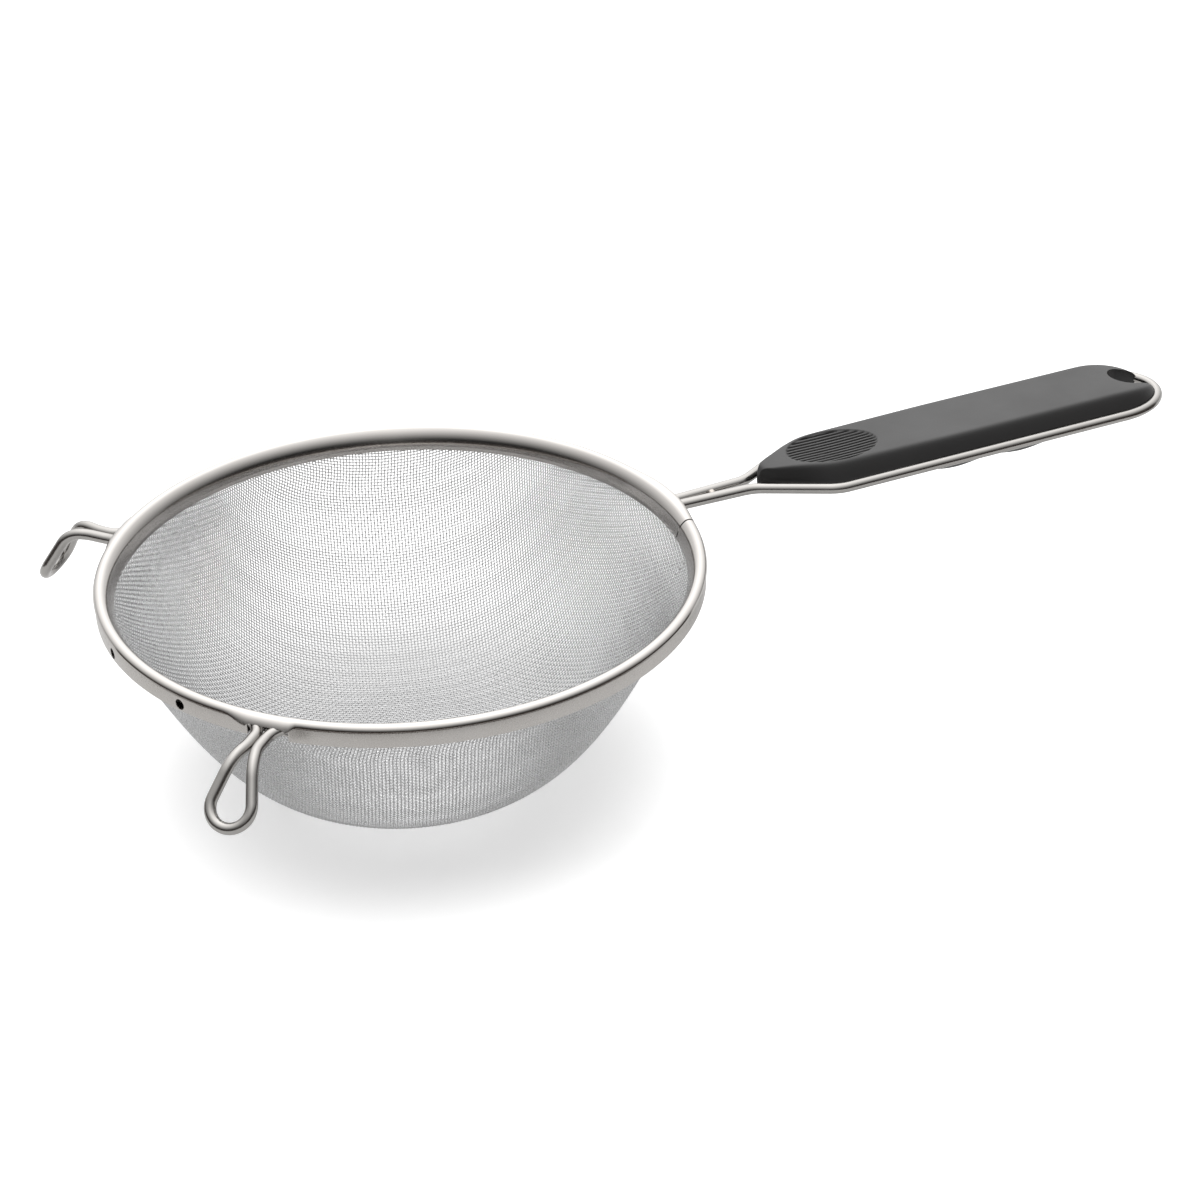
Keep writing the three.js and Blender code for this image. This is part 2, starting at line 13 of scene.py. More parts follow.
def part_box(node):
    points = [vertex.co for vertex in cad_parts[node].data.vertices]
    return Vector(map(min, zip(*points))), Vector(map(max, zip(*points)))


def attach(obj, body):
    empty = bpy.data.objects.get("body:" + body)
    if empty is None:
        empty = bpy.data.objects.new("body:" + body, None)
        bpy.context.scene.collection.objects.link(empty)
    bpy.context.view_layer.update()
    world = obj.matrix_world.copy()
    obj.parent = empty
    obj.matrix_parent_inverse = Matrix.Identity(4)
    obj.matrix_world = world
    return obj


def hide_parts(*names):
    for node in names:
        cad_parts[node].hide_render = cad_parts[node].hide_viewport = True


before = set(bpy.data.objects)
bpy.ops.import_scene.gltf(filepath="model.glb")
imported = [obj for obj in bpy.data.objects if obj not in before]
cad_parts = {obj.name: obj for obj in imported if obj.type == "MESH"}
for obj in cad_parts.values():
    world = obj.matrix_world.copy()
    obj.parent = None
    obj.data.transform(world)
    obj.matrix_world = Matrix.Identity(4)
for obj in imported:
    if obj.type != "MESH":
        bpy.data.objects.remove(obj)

log = logging.getLogger("strainer")

# Lengths below are millimetres, counted from the middle of the rim's bead, and become metres at the end.
MM = 0.001
RIM_RADIUS = 78.0
RIM_TOP = 1.85
BEAD_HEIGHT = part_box("rim_band")[1].z / MM - RIM_TOP
WIRE_RADIUS = 1.5
WIRE_ROUNDING = 6
TAIL_RADIUS = 77.6
TAIL_HEIGHT = -0.75
HOOK_AZIMUTHS = {"hook_left": -138.3, "hook_right": 136.5}


class Slot(Enum):
    """The record's material slots."""

    CLOTH = "cloth"
    RIM = "rim"
    WIRE = "wire"
    GRIP = "grip"


# Small tools

def linear(colour: str) -> tuple[float, float, float, float]:
    """Turn an sRGB hex colour to linear.

    Args:
        colour: Six hex digits after a hash.

    Returns:
        Linear red, green and blue, and an alpha of 1.
    """
    parts = [int(colour[i:i + 2], 16) / 255 for i in (1, 3, 5)]
    flat = [p / 12.92 if p <= 0.04045 else ((p + 0.055) / 1.055) ** 2.4 for p in parts]
    return (flat[0], flat[1], flat[2], 1.0)


def smooth(value: np.ndarray | float, low: float, high: float) -> np.ndarray:
    """Rise smoothly from 0 at low to 1 at high.

    Args:
        value: Where to read the rise.
        low: Where it starts; it may be above high for a fall.
        high: Where it ends.

    Returns:
        The share of the rise at each value.
    """
    share = np.clip((np.asarray(value, float) - low) / (high - low), 0.0, 1.0)
    return share * share * (3.0 - 2.0 * share)


def add_node(
    tree: bpy.types.NodeTree, kind: str, inputs: dict | None = None, **settings: str,
) -> bpy.types.Node:
    """Add a node with its settings, values and links.

    Args:
        tree: The node tree that gets the node.
        kind: The node's type name, after ShaderNode.
        inputs: For an input socket, by name or number, its value or the output socket that feeds it.
        settings: Properties of the node.

    Returns:
        The new node.
    """
    node = tree.nodes.new(f"ShaderNode{kind}")
    for key, value in settings.items():
        setattr(node, key, value)
    for key, value in (inputs or {}).items():
        if isinstance(value, bpy.types.NodeSocket):
            tree.links.new(value, node.inputs[key])
        else:
            node.inputs[key].default_value = value
    return node


def deselect() -> None:
    """Leave edit mode and select nothing."""
    if bpy.context.object and bpy.context.object.mode != "OBJECT":
        bpy.ops.object.mode_set(mode="OBJECT")
    bpy.ops.object.select_all(action="DESELECT")


def pick(piece: bpy.types.Object) -> None:
    """Make a piece the only selected and active object.

    Args:
        piece: The object.
    """
    deselect()
    piece.select_set(True)
    bpy.context.view_layer.objects.active = piece


def in_metres(points: np.ndarray) -> np.ndarray:
    """Turn points counted in millimetres from the bead's middle to metres above the base."""
    return (np.asarray(points, float) + (0.0, 0.0, BEAD_HEIGHT)) * MM


def turned(points: np.ndarray, azimuth: float) -> np.ndarray:
    """Turn points about the bowl's axis.

    Args:
        points: Rows of x, y and z.
        azimuth: Degrees, from +X towards +Y.

    Returns:
        The turned rows.
    """
    angle = math.radians(azimuth)
    c, s = math.cos(angle), math.sin(angle)
    spin = np.array([[c, s, 0], [-s, c, 0], [0, 0, 1]])
    return np.asarray(points, float) @ spin


def vertices(piece: bpy.types.Object) -> np.ndarray:
    """Read a mesh's vertices.

    Args:
        piece: The mesh object.

    Returns:
        Rows of metres.
    """
    flat = np.zeros(len(piece.data.vertices) * 3)
    piece.data.vertices.foreach_get("co", flat)
    return flat.reshape(-1, 3)


def move_vertices(piece: bpy.types.Object, rows: np.ndarray) -> None:
    """Put a mesh's vertices at rows of metres."""
    piece.data.vertices.foreach_set("co", np.asarray(rows, float).ravel())
    piece.data.update()


def close_mesh(piece: bpy.types.Object, merge: float) -> None:
    """Merge a mesh's doubles, fill its open ends and point its faces outwards.

    Args:
        piece: The mesh object.
        merge: Millimetres within which vertices are one.
    """
    pick(piece)
    bpy.ops.object.mode_set(mode="EDIT")
    bpy.ops.mesh.select_all(action="SELECT")
    bpy.ops.mesh.remove_doubles(threshold=merge * MM)
    bpy.ops.mesh.fill_holes(sides=0)
    bpy.ops.mesh.normals_make_consistent(inside=False)
    bpy.ops.object.mode_set(mode="OBJECT")


def smooth_shading(piece: bpy.types.Object, angle: float) -> None:
    """Shade a piece smooth where its faces meet at less than an angle in degrees."""
    pick(piece)
    bpy.ops.object.shade_smooth_by_angle(angle=math.radians(angle))


def cut(piece: bpy.types.Object, cutter: bpy.types.Object) -> None:
    """Take a cutter's volume out of a piece and delete the cutter.

    Args:
        piece: The piece that is cut.
        cutter: A closed mesh.
    """
    pick(piece)
    step = piece.modifiers.new("cut", "BOOLEAN")
    step.operation = "DIFFERENCE"
    step.solver = "EXACT"
    step.object = cutter
    bpy.ops.object.modifier_apply(modifier=step.name)
    shape = cutter.data
    bpy.data.objects.remove(cutter)
    bpy.data.meshes.remove(shape)


def draw_wires(name: str, paths: list[np.ndarray], radius: float, rounding: int) -> bpy.types.Object:
    """Draw round wires along paths, as one mesh.

    Args:
        name: The piece's name.
        paths: Rows of millimetres for each wire.
        radius: Millimetres.
        rounding: The bevel's resolution, 0 for four sides.

    Returns:
        The mesh object.
    """
    curve = bpy.data.curves.new(name, "CURVE")
    curve.dimensions = "3D"
    curve.bevel_depth = radius * MM
    curve.bevel_resolution = rounding
    curve.use_fill_caps = True
    for path in paths:
        spline = curve.splines.new("POLY")
        spline.points.add(len(path) - 1)
        rows = np.ones((len(path), 4))
        rows[:, :3] = in_metres(path)
        spline.points.foreach_set("co", rows.ravel())
        spline.use_smooth = True
    piece = bpy.data.objects.new(name, curve)
    bpy.context.collection.objects.link(piece)
    pick(piece)
    bpy.ops.object.convert(target="MESH")
    return bpy.context.object


def hand_over(piece: bpy.types.Object, finish: bpy.types.Material, node: str) -> None:
    """Dress a piece and let it stand for its CAD node.

    Args:
        piece: The finished mesh object.
        finish: Its material.
        node: The CAD node that it replaces.
    """
    piece.data.materials.clear()
    piece.data.materials.append(finish)
    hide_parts(node)
    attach(piece, "root")
    log.info("%s: %d faces for %s", piece.name, len(piece.data.polygons), node)


# Finishes

# Patterns are sized in millimetres. Grain and spark are finer in life, and are drawn coarse enough to show.
# A noise stays mostly between these two values.
NOISE_REACH = (0.3, 0.7)


@dataclass(frozen=True)
class Steel:
    """Stainless steel: a grey mirror whose sharpness tells drawn wire, rolled strip and weld bead apart."""

    name: str
    colour: str
    tarnish: str
    roughness: float
    roughness_swing: float
    grain: float
    bump: float
    dull: float = 0.0
    dull_below: float = 0.0
    dull_fade: float = 0.4
    haze: float = 14.0
    bump_depth: float = 0.02

    def make(self) -> bpy.types.Material:
        """Make the material.

        Returns:
            A metal with patches of handling haze and a fine grain in its gloss, dull low outside if asked.
        """
        material = bpy.data.materials.new(self.name)
        material.use_nodes = True
        tree = material.node_tree
        shader = tree.nodes["Principled BSDF"]
        shader.inputs["Metallic"].default_value = 1.0
        place = add_node(tree, "TexCoord").outputs["Object"]
        haze = add_node(tree, "TexNoise", {"Vector": place, "Scale": 1 / (self.haze * MM), "Detail": 3.0})
        grain = add_node(tree, "TexNoise", {"Vector": place, "Scale": 1 / (self.grain * MM), "Detail": 2.0})
        ends = {"A": linear(self.colour), "B": linear(self.tarnish)}
        colour = add_node(tree, "Mix", {"Factor": haze.outputs["Fac"], **ends}, data_type="RGBA")
        gloss = add_node(tree, "MapRange", {
            "Value": grain.outputs["Fac"],
            "From Min": NOISE_REACH[0],
            "From Max": NOISE_REACH[1],
            "To Min": self.roughness - self.roughness_swing,
            "To Max": self.roughness + self.roughness_swing,
        })
        if self.dull:
            height = add_node(tree, "SeparateXYZ", {0: place})
            low = add_node(tree, "MapRange", {
                "Value": height.outputs["Z"],
                "From Min": (self.dull_below - self.dull_fade) * MM,
                "From Max": self.dull_below * MM,
                "To Min": self.dull,
                "To Max": 0.0,
            }, interpolation_type="SMOOTHSTEP")
            level = add_node(tree, "VectorMath", {0: place, 1: (1, 1, 0)}, operation="MULTIPLY")
            away = add_node(tree, "VectorMath", {0: level.outputs[0]}, operation="LENGTH")
            outside = add_node(tree, "MapRange", {
                "Value": away.outputs["Value"],
                "From Min": RIM_RADIUS * MM,
                "From Max": (RIM_RADIUS + self.dull_fade) * MM,
            })
            terms = {0: low.outputs[0], 1: outside.outputs[0], 2: gloss.outputs[0]}
            gloss = add_node(tree, "Math", terms, operation="MULTIPLY_ADD")
        grade = {"Strength": self.bump, "Distance": self.bump_depth * MM}
        bump = add_node(tree, "Bump", {"Height": grain.outputs["Fac"], **grade})
        tree.links.new(colour.outputs["Result"], shader.inputs["Base Color"])
        tree.links.new(gloss.outputs[0], shader.inputs["Roughness"])
        tree.links.new(bump.outputs["Normal"], shader.inputs["Normal"])
        return material


@dataclass(frozen=True)
class MouldedPlastic:
    """Moulded polypropylene: near black, with the satin sheen of a finely sparked mould."""

    name: str
    colour: str
    worn: str
    roughness: float
    spark: float
    bump: float
    roughness_swing: float = 0.05
    rub: float = 22.0
    bump_depth: float = 0.05

    def make(self) -> bpy.types.Material:
        """Make the material.

        Returns:
            A dark plastic with a fine sparked grain and slightly paler rubbed patches.
        """
        material = bpy.data.materials.new(self.name)
        material.use_nodes = True
        tree = material.node_tree
        shader = tree.nodes["Principled BSDF"]
        place = add_node(tree, "TexCoord").outputs["Object"]
        rub = add_node(tree, "TexNoise", {"Vector": place, "Scale": 1 / (self.rub * MM), "Detail": 4.0})
        spark = add_node(tree, "TexNoise", {"Vector": place, "Scale": 1 / (self.spark * MM), "Detail": 2.0})
        ends = {"A": linear(self.colour), "B": linear(self.worn)}
        colour = add_node(tree, "Mix", {"Factor": rub.outputs["Fac"], **ends}, data_type="RGBA")
        gloss = add_node(tree, "MapRange", {
            "Value": rub.outputs["Fac"],
            "From Min": NOISE_REACH[0],
            "From Max": NOISE_REACH[1],
            "To Min": self.roughness - self.roughness_swing,
            "To Max": self.roughness + self.roughness_swing,
        })
        grade = {"Strength": self.bump, "Distance": self.bump_depth * MM}
        bump = add_node(tree, "Bump", {"Height": spark.outputs["Fac"], **grade})
        tree.links.new(colour.outputs["Result"], shader.inputs["Base Color"])
        tree.links.new(gloss.outputs["Result"], shader.inputs["Roughness"])
        tree.links.new(bump.outputs["Normal"], shader.inputs["Normal"])
        return material


# Cloth wire is drawn dull and fine, so the weave reads as one soft grey with a sparkle at its crossings.
CLOTH_WIRE = Steel("stainless_cloth_wire", "#d5d5d6", "#cacaca", 0.28, 0.05, 0.6, 0.0)
# Rolled strip is bright where the bead was rolled, with a faint haze, and satin on its skirt.
STRIP_NAME = "stainless_rolled_strip"
ROLLED_STRIP = Steel(STRIP_NAME, "#bcb9b6", "#b3afab", 0.12, 0.03, 0.5, 0.1, 0.16, BEAD_HEIGHT + 0.4)
# Drawn wire is a satin grey, with soft dark and light bands along its length.
DRAWN_WIRE = Steel("stainless_drawn_wire", "#aaa8a5", "#9e9b98", 0.21, 0.03, 0.4, 0.02)
# A resistance weld leaves a small rough silver bead.
WELD_BEAD = Steel("stainless_weld_bead", "#b4aea8", "#9a938c", 0.3, 0.08, 0.5, 0.4)
# The grip is a satin black moulding whose flat top takes a grey sheen from the light.
GRIP_PLASTIC = MouldedPlastic("polypropylene_satin_black", "#1a1919", "#201f1f", 0.44, 0.35, 0.3)


# Wire paths

def rim_exit(lateral: float, exit_height: float, bend: float) -> list[tuple[float, float, float]]:
    """Lead one leg out of the bead, in a frame whose +X points out through the notch.

    Args:
        lateral: The leg's distance from the middle of the notch, in millimetres.
        exit_height: How far above the bead's middle it ends.
        bend: The bend's radius.

    Returns:
        Points of a tail clamped in the bead and of a bend that ends heading along +X.
    """
    tail, steps = 15.0, 16
    centre_y = lateral + bend
    centre_x = math.sqrt((TAIL_RADIUS + bend) ** 2 - centre_y ** 2)
    bearing = math.atan2(centre_y, centre_x)
    points = []
    for i in range(8):
        angle = bearing + tail / TAIL_RADIUS * (1 - i / 8)
        points.append((TAIL_RADIUS * math.cos(angle), TAIL_RADIUS * math.sin(angle), TAIL_HEIGHT))
    sweep = math.pi / 2 - bearing
    for i in range(steps + 1):
        angle = math.pi + bearing + sweep * i / steps
        drop = math.sin(math.pi / 2 * i / steps) ** 2
        height = TAIL_HEIGHT + (exit_height - TAIL_HEIGHT) * drop
        points.append((centre_x + bend * math.cos(angle), centre_y + bend * math.sin(angle), height))
    return points


def bent_double(half: list[tuple[float, float, float]]) -> np.ndarray:
    """Join one leg to its mirror image across the handle's middle plane.

    Args:
        half: Points of one leg, from its tail to the middle of the bend.

    Returns:
        Rows for the whole wire.
    """
    return np.array(half + [(x, -y, z) for x, y, z in half[-2::-1]])


# The bowl

@dataclass
class WovenBowl:
    """A round of plain-woven wire cloth, pressed to a bowl so that its meshes lean into diamonds."""

    top_radius: float = 77.5
    top: float = -3.0
    clamped: float = -3.5
    bottom: float = -60.0
    shoulder: float = 0.66
    belly: float = 0.245
    base_flat: float = 11.0
    lean: tuple[float, float] = (-0.87, 0.36)
    lean_from: float = -5.0
    lean_to: float = -14.0
    pitch: tuple[float, float] = (0.92, 0.81)
    strand_radius: float = 0.155
    sets: int = 4
    crimp: float = 0.14
    turn: float = -19.9

    def __post_init__(self) -> None:
        """Lay out the bowl's profile by arc length."""
        radius = self.top_radius * np.sin(np.linspace(0, math.pi / 2, 4001))
        height = np.maximum(self.height(radius), self.height(np.array(self.base_flat)))
        self.profile = np.stack([radius, height], 1)
        steps = np.hypot(np.diff(radius), np.diff(height))
        self.run = np.concatenate([[0.0], np.cumsum(steps)])
        self.reach = self.run[-1]

    def height(self, radius: np.ndarray) -> np.ndarray:
        """Give the profile's height at a radius, before its base is flattened."""
        share = np.clip(1 - (radius / self.top_radius) ** (1 / self.belly), 0, 1) ** (1 / self.shoulder)
        return self.top + (self.bottom - self.top) * share

    def pressed(self, flat: np.ndarray, offset: np.ndarray | float = 0.0) -> np.ndarray:
        """Press points of the flat cloth onto the bowl.

        Args:
            flat: Rows of two coordinates whose length is the way from the base's middle along the cloth.
            offset: Millimetres outwards from the cloth's middle surface.

        Returns:
            Rows of x, y and z.
        """
        run = np.hypot(flat[..., 0], flat[..., 1])
        bearing = np.arctan2(flat[..., 1], flat[..., 0])
        radius = np.interp(run, self.run, self.profile[:, 0])
        height = np.interp(run, self.run, self.profile[:, 1]) + np.maximum(0, run - self.reach)
        slope_r = np.interp(run, self.run, np.gradient(self.profile[:, 0], self.run))
        slope_z = np.interp(run, self.run, np.gradient(self.profile[:, 1], self.run))
        radius = radius + offset * slope_z
        height = height - offset * slope_r
        aside = smooth(height, self.lean_from, self.lean_to)
        x = radius * np.cos(bearing) + self.lean[0] * aside
        y = radius * np.sin(bearing) + self.lean[1] * aside
        return np.stack([x, y, height], -1)

    def quarter_net(self) -> np.ndarray:
        """Lay one quarter of the cloth's crossings on the bowl, with every mesh as large as its pitches.

        Returns:
            Flat coordinates of each crossing, with no number past the cloth's edge.
        """
        rows, columns = (int(self.reach / pitch) + 1 for pitch in self.pitch)
        net = np.full((rows + 1, columns + 1, 2), np.nan)
        net[:, 0] = np.outer(np.arange(rows + 1) * self.pitch[0], (1, 0))
        net[0, :] = np.outer(np.arange(columns + 1) * self.pitch[1], (0, 1))
        limit = self.reach + 2 * max(self.pitch)
        for diagonal in range(2, rows + columns + 1):
            i = np.arange(max(1, diagonal - columns), min(rows, diagonal - 1) + 1)
            j = diagonal - i
            known = ~np.isnan(net[i - 1, j, 0]) & ~np.isnan(net[i, j - 1, 0])
            i, j = i[known], j[known]
            if not len(i):
                break
            near_a, near_b = net[i - 1, j], net[i, j - 1]
            place = near_a + near_b - net[i - 1, j - 1]
            place = self.settled(place, self.pressed(near_a), self.pressed(near_b))
            place[np.hypot(place[:, 0], place[:, 1]) > limit] = np.nan
            net[i, j] = place
        return net

    def settled(self, place: np.ndarray, side_a: np.ndarray, side_b: np.ndarray) -> np.ndarray:
        """Move crossings until each is its pitches away from its two neighbours.

        Args:
            place: Flat coordinates of a first guess.
            side_a: Pressed neighbours on one side.
            side_b: Pressed neighbours on the other side.

        Returns:
            The settled flat coordinates.
        """
        nudge, rounds, least = 1e-3, 8, 1e-6
        for _ in range(rounds):
            here = self.pressed(place)
            along_u = (self.pressed(place + (nudge, 0)) - self.pressed(place - (nudge, 0))) / (2 * nudge)
            along_v = (self.pressed(place + (0, nudge)) - self.pressed(place - (0, nudge))) / (2 * nudge)
            to_a, to_b = here - side_a, here - side_b
            miss_a = (to_a ** 2).sum(1) - self.pitch[0] ** 2
            miss_b = (to_b ** 2).sum(1) - self.pitch[1] ** 2
            au, av = 2 * (to_a * along_u).sum(1), 2 * (to_a * along_v).sum(1)
            bu, bv = 2 * (to_b * along_u).sum(1), 2 * (to_b * along_v).sum(1)
            spread = au * bv - av * bu
            spread = np.where(np.abs(spread) < least, least, spread)
            step = np.stack([(miss_b * av - miss_a * bv) / spread, (miss_a * bu - miss_b * au) / spread], 1)
            length = np.linalg.norm(step, axis=1)
            place = place + step * np.minimum(1, 0.5 * min(self.pitch) / np.maximum(length, 1e-9))[:, None]
        return place

    def crossings(self) -> np.ndarray:
        """Mirror the quarter net to all four quarters.

        Returns:
            Flat coordinates on a signed grid, turned to the weave's bearing.
        """
        quarter = self.quarter_net()
        rows, columns = quarter.shape[0] - 1, quarter.shape[1] - 1
        grid = np.full((2 * rows + 1, 2 * columns + 1, 2), np.nan)
        a, b = np.meshgrid(np.arange(rows + 1), np.arange(columns + 1), indexing="ij")
        for side_u, side_v in ((1, 1), (-1, 1), (-1, -1), (1, -1)):
            grid[rows + side_u * a, columns + side_v * b] = quarter * (side_u, side_v)
        angle = math.radians(self.turn)
        spin = np.array([[math.cos(angle), math.sin(angle)], [-math.sin(angle), math.cos(angle)]])
        return grid @ spin

    def build(self, finish: bpy.types.Material) -> None:
        """Weave the cloth as real strands that pass over and under, in sets of each family.

        Args:
            finish: The strands' material.
        """
        grid = self.crossings()
        rows, columns = grid.shape[:2]
        edge = np.interp(self.clamped, self.profile[:, 1], self.run)
        inside = np.hypot(grid[..., 0], grid[..., 1]) <= edge
        i, j = np.meshgrid(np.arange(rows), np.arange(columns), indexing="ij")
        side = np.where((i + j) % 2 == 0, self.crimp, -self.crimp)
        warp = self.pressed(grid, side)
        weft = self.pressed(grid, -side)
        families = {
            "warp": [warp[k][inside[k]] for k in range(rows)],
            "weft": [weft[:, k][inside[:, k]] for k in range(columns)],
        }
        for name, strands in families.items():
            strands = [self.knuckled(strand) for strand in strands if len(strand) > 1]
            for k, share in enumerate(self.shared(strands)):
                piece = draw_wires(f"cloth_{name}_{k + 1}", share, self.strand_radius, 0)
                hand_over(piece, finish, "mesh_bowl")

    def knuckled(self, strand: np.ndarray) -> np.ndarray:
        """Add the middle of each stretch, so that the strand's light rolls over every crossing.

        Args:
            strand: The strand's crossings.

        Returns:
            Crossings and middles in order.
        """
        rows = np.empty((2 * len(strand) - 1, 3))
        rows[::2] = strand
        rows[1::2] = (strand[1:] + strand[:-1]) / 2
        return rows

    def shared(self, strands: list[np.ndarray]) -> list[list[np.ndarray]]:
        """Share the strands of one family out to sets of about the same size.

        Args:
            strands: All strands of a family, side by side.

        Returns:
            The sets.
        """
        ends = np.cumsum([len(strand) for strand in strands])
        which = np.minimum((ends - 1) * self.sets // ends[-1], self.sets - 1)
        return [[strand for strand, k in zip(strands, which) if k == number] for number in range(self.sets)]


# The rim

@dataclass
class FoldedRim:
    """One steel strip folded over the cloth's edge to a bead, with a skirt outside and a lip inside."""

    sheet: float = 0.3
    merge: float = 0.004
    shading: float = 32.0
    crest_radius: float = 78.1
    bead_radius: float = 1.65
    bead_end: float = 10.0
    bead_end_inside: float = 38.0
    crown_radius: float = 2.0
    crown_turn: float = 42.0
    roll_radius: float = 5.7
    roll_turn: float = 71.0
    flank_radius: float = 16.0
    flank_turn: float = 78.5
    crease: tuple[float, float] = (79.3, 0.4)
    skirt_radius: float = 79.6
    skirt_top: float = 0.2
    skirt_bottom: float = -3.9
    skirt_draft: float = 0.1
    skirt_bevel: tuple[float, float] = (0.05, 0.15)
    hem_radius: float = 77.2
    lip_radius: float = 74.9
    lip_top: float = -3.3
    lip_bottom: float = -4.4
    ledge_radius: float = 76.7
    steps: int = 360
    seam_azimuth: float = -12.8
    seam_gap: float = 0.6
    hole_radius: float = 1.45
    hole_depth: float = 4.0
    hole_rounding: int = 28
    hole_height: float = -2.1
    hole_azimuths: tuple[float, ...] = (158.0, 180.0, 202.8)
    notch_half_width: float = 5.5
    notch_top: float = 1.0
    notch_corner: float = 1.2
    hood_rise: tuple[float, float] = (0.2, 0.45)
    hood_drop_fade: tuple[float, float] = (80.0, 20.0)
    hook_hood_fade: tuple[float, float] = (85.0, 20.0)
    neck_hood_fade: tuple[float, float] = (150.0, 70.0)
    hook_hood: float = 1.3
    hook_hood_drop: float = 1.2
    hook_hood_long: tuple[float, float] = (12.0, 4.5)
    hook_hood_short: tuple[float, float] = (7.5, 5.0)
    neck_hood: float = 1.2
    neck_hood_drop: float = 0.6
    neck_hood_reach: tuple[float, float] = (19.0, 3.0)

    def rolled_top(self, inset: float, bead_end: float) -> list[tuple[float, float]]:
        """Give the rolled top of the folded section, from the lip over the crest and down the outer bead.

        Args:
            inset: How far inside the strip's outer face.
            bead_end: Degrees above level where the bead ends.

        Returns:
            Radius and height of each point.
        """
        turn = math.radians(self.crown_turn)
        crown_height = RIM_TOP - self.crown_radius
        gap = self.roll_radius - self.crown_radius
        roll = (self.crest_radius + gap * math.sin(turn), crown_height - gap * math.cos(turn))
        turn = math.radians(self.roll_turn)
        gap = self.flank_radius - self.roll_radius
        flank = (roll[0] + gap * math.sin(turn), roll[1] - gap * math.cos(turn))
        arcs = [
            (flank, self.flank_radius, 90 + self.flank_turn, 90 + self.roll_turn, 6),
            (roll, self.roll_radius, 90 + self.roll_turn, 90 + self.crown_turn, 12),
            ((self.crest_radius, crown_height), self.crown_radius, 90 + self.crown_turn, 90.0, 12),
            ((self.crest_radius, RIM_TOP - self.bead_radius), self.bead_radius, 90.0, bead_end, 16),
        ]
        rows = []
        for middle, radius, start, end, steps in arcs:
            for i in range(1 if rows else 0, steps + 1):
                angle = math.radians(start + (end - start) * i / steps)
                size = radius - inset
                rows.append((middle[0] + size * math.cos(angle), middle[1] + size * math.sin(angle)))
        return rows

    def outline(self) -> np.ndarray:
        """Give the strip's folded section.

        Returns:
            Rows of radius and height, in order round the section.
        """
        low = self.skirt_radius - self.skirt_draft
        outer = [(self.lip_radius, self.lip_bottom), (self.lip_radius, self.lip_top)]
        outer += self.rolled_top(0, self.bead_end) + [self.crease]
        bevel_in, bevel_down = self.skirt_bevel
        outer += [(self.skirt_radius - bevel_in, self.skirt_top)]
        outer += [(self.skirt_radius, self.skirt_top - bevel_down)]
        outer += [(low, self.skirt_bottom), (self.hem_radius, self.skirt_bottom)]
        ledge = self.lip_bottom + self.sheet
        inside = self.lip_radius + self.sheet
        inner = [(self.ledge_radius, self.lip_bottom), (self.ledge_radius, ledge), (inside, ledge)]
        inner += [(inside, self.lip_top - self.sheet)]
        inner += self.rolled_top(self.sheet, self.bead_end_inside)
        inner += [(self.crease[0] - self.sheet, self.crease[1] - self.sheet / 3)]
        inner += [(self.skirt_radius - self.sheet, self.skirt_top - self.sheet)]
        inner += [(low - self.sheet, self.skirt_bottom + self.sheet)]
        inner += [(self.hem_radius, self.skirt_bottom + self.sheet)]
        return np.array(outer + inner[::-1])

    def block(self, azimuth: float, half_width: float, radii: tuple[float, float],
              heights: tuple[float, float], rounding: float) -> bpy.types.Object:
        """Make a cutter that stands across the band.

        Args:
            azimuth: Degrees round the rim.
            half_width: Millimetres along the rim.
            radii: Where it starts and ends, outwards.
            heights: Where it starts and ends, upwards.
            rounding: Radius of its upper corners, 0 for none.

        Returns:
            The cutter.
        """
        deselect()
        bpy.ops.mesh.primitive_cube_add(size=1)
        piece = bpy.context.object
        corner = vertices(piece)
        rows = np.stack([
            np.where(corner[:, 0] > 0, radii[1], radii[0]),
            np.where(corner[:, 1] > 0, half_width, -half_width),
            np.where(corner[:, 2] > 0, heights[1], heights[0]),
        ], 1)
        move_vertices(piece, in_metres(turned(rows, azimuth)))
        if rounding:
            bpy.ops.object.mode_set(mode="EDIT")
            bpy.ops.mesh.select_all(action="DESELECT")
            bpy.ops.object.mode_set(mode="OBJECT")
            bpy.context.tool_settings.mesh_select_mode = (False, True, False)
            for edge in piece.data.edges:
                a, b = (rows[k] for k in edge.vertices)
                edge.select = a[1] == b[1] and a[2] == b[2] == heights[1]
            bpy.ops.object.mode_set(mode="EDIT")
            bpy.ops.mesh.bevel(offset=rounding * MM, segments=4)
            bpy.ops.object.mode_set(mode="OBJECT")
        return piece

    def drill(self, azimuth: float) -> bpy.types.Object:
        """Make the cutter of one round hole in the skirt.

        Args:
            azimuth: Degrees round the rim.

        Returns:
            The cutter.
        """
        deselect()
        radius, depth = self.hole_radius * MM, self.hole_depth * MM
        bpy.ops.mesh.primitive_cylinder_add(vertices=self.hole_rounding, radius=radius, depth=depth)
        piece = bpy.context.object
        rows = vertices(piece)[:, (2, 1, 0)] / MM * (1, 1, -1) + (self.skirt_radius, 0, self.hole_height)
        move_vertices(piece, in_metres(turned(rows, azimuth)))
        return piece

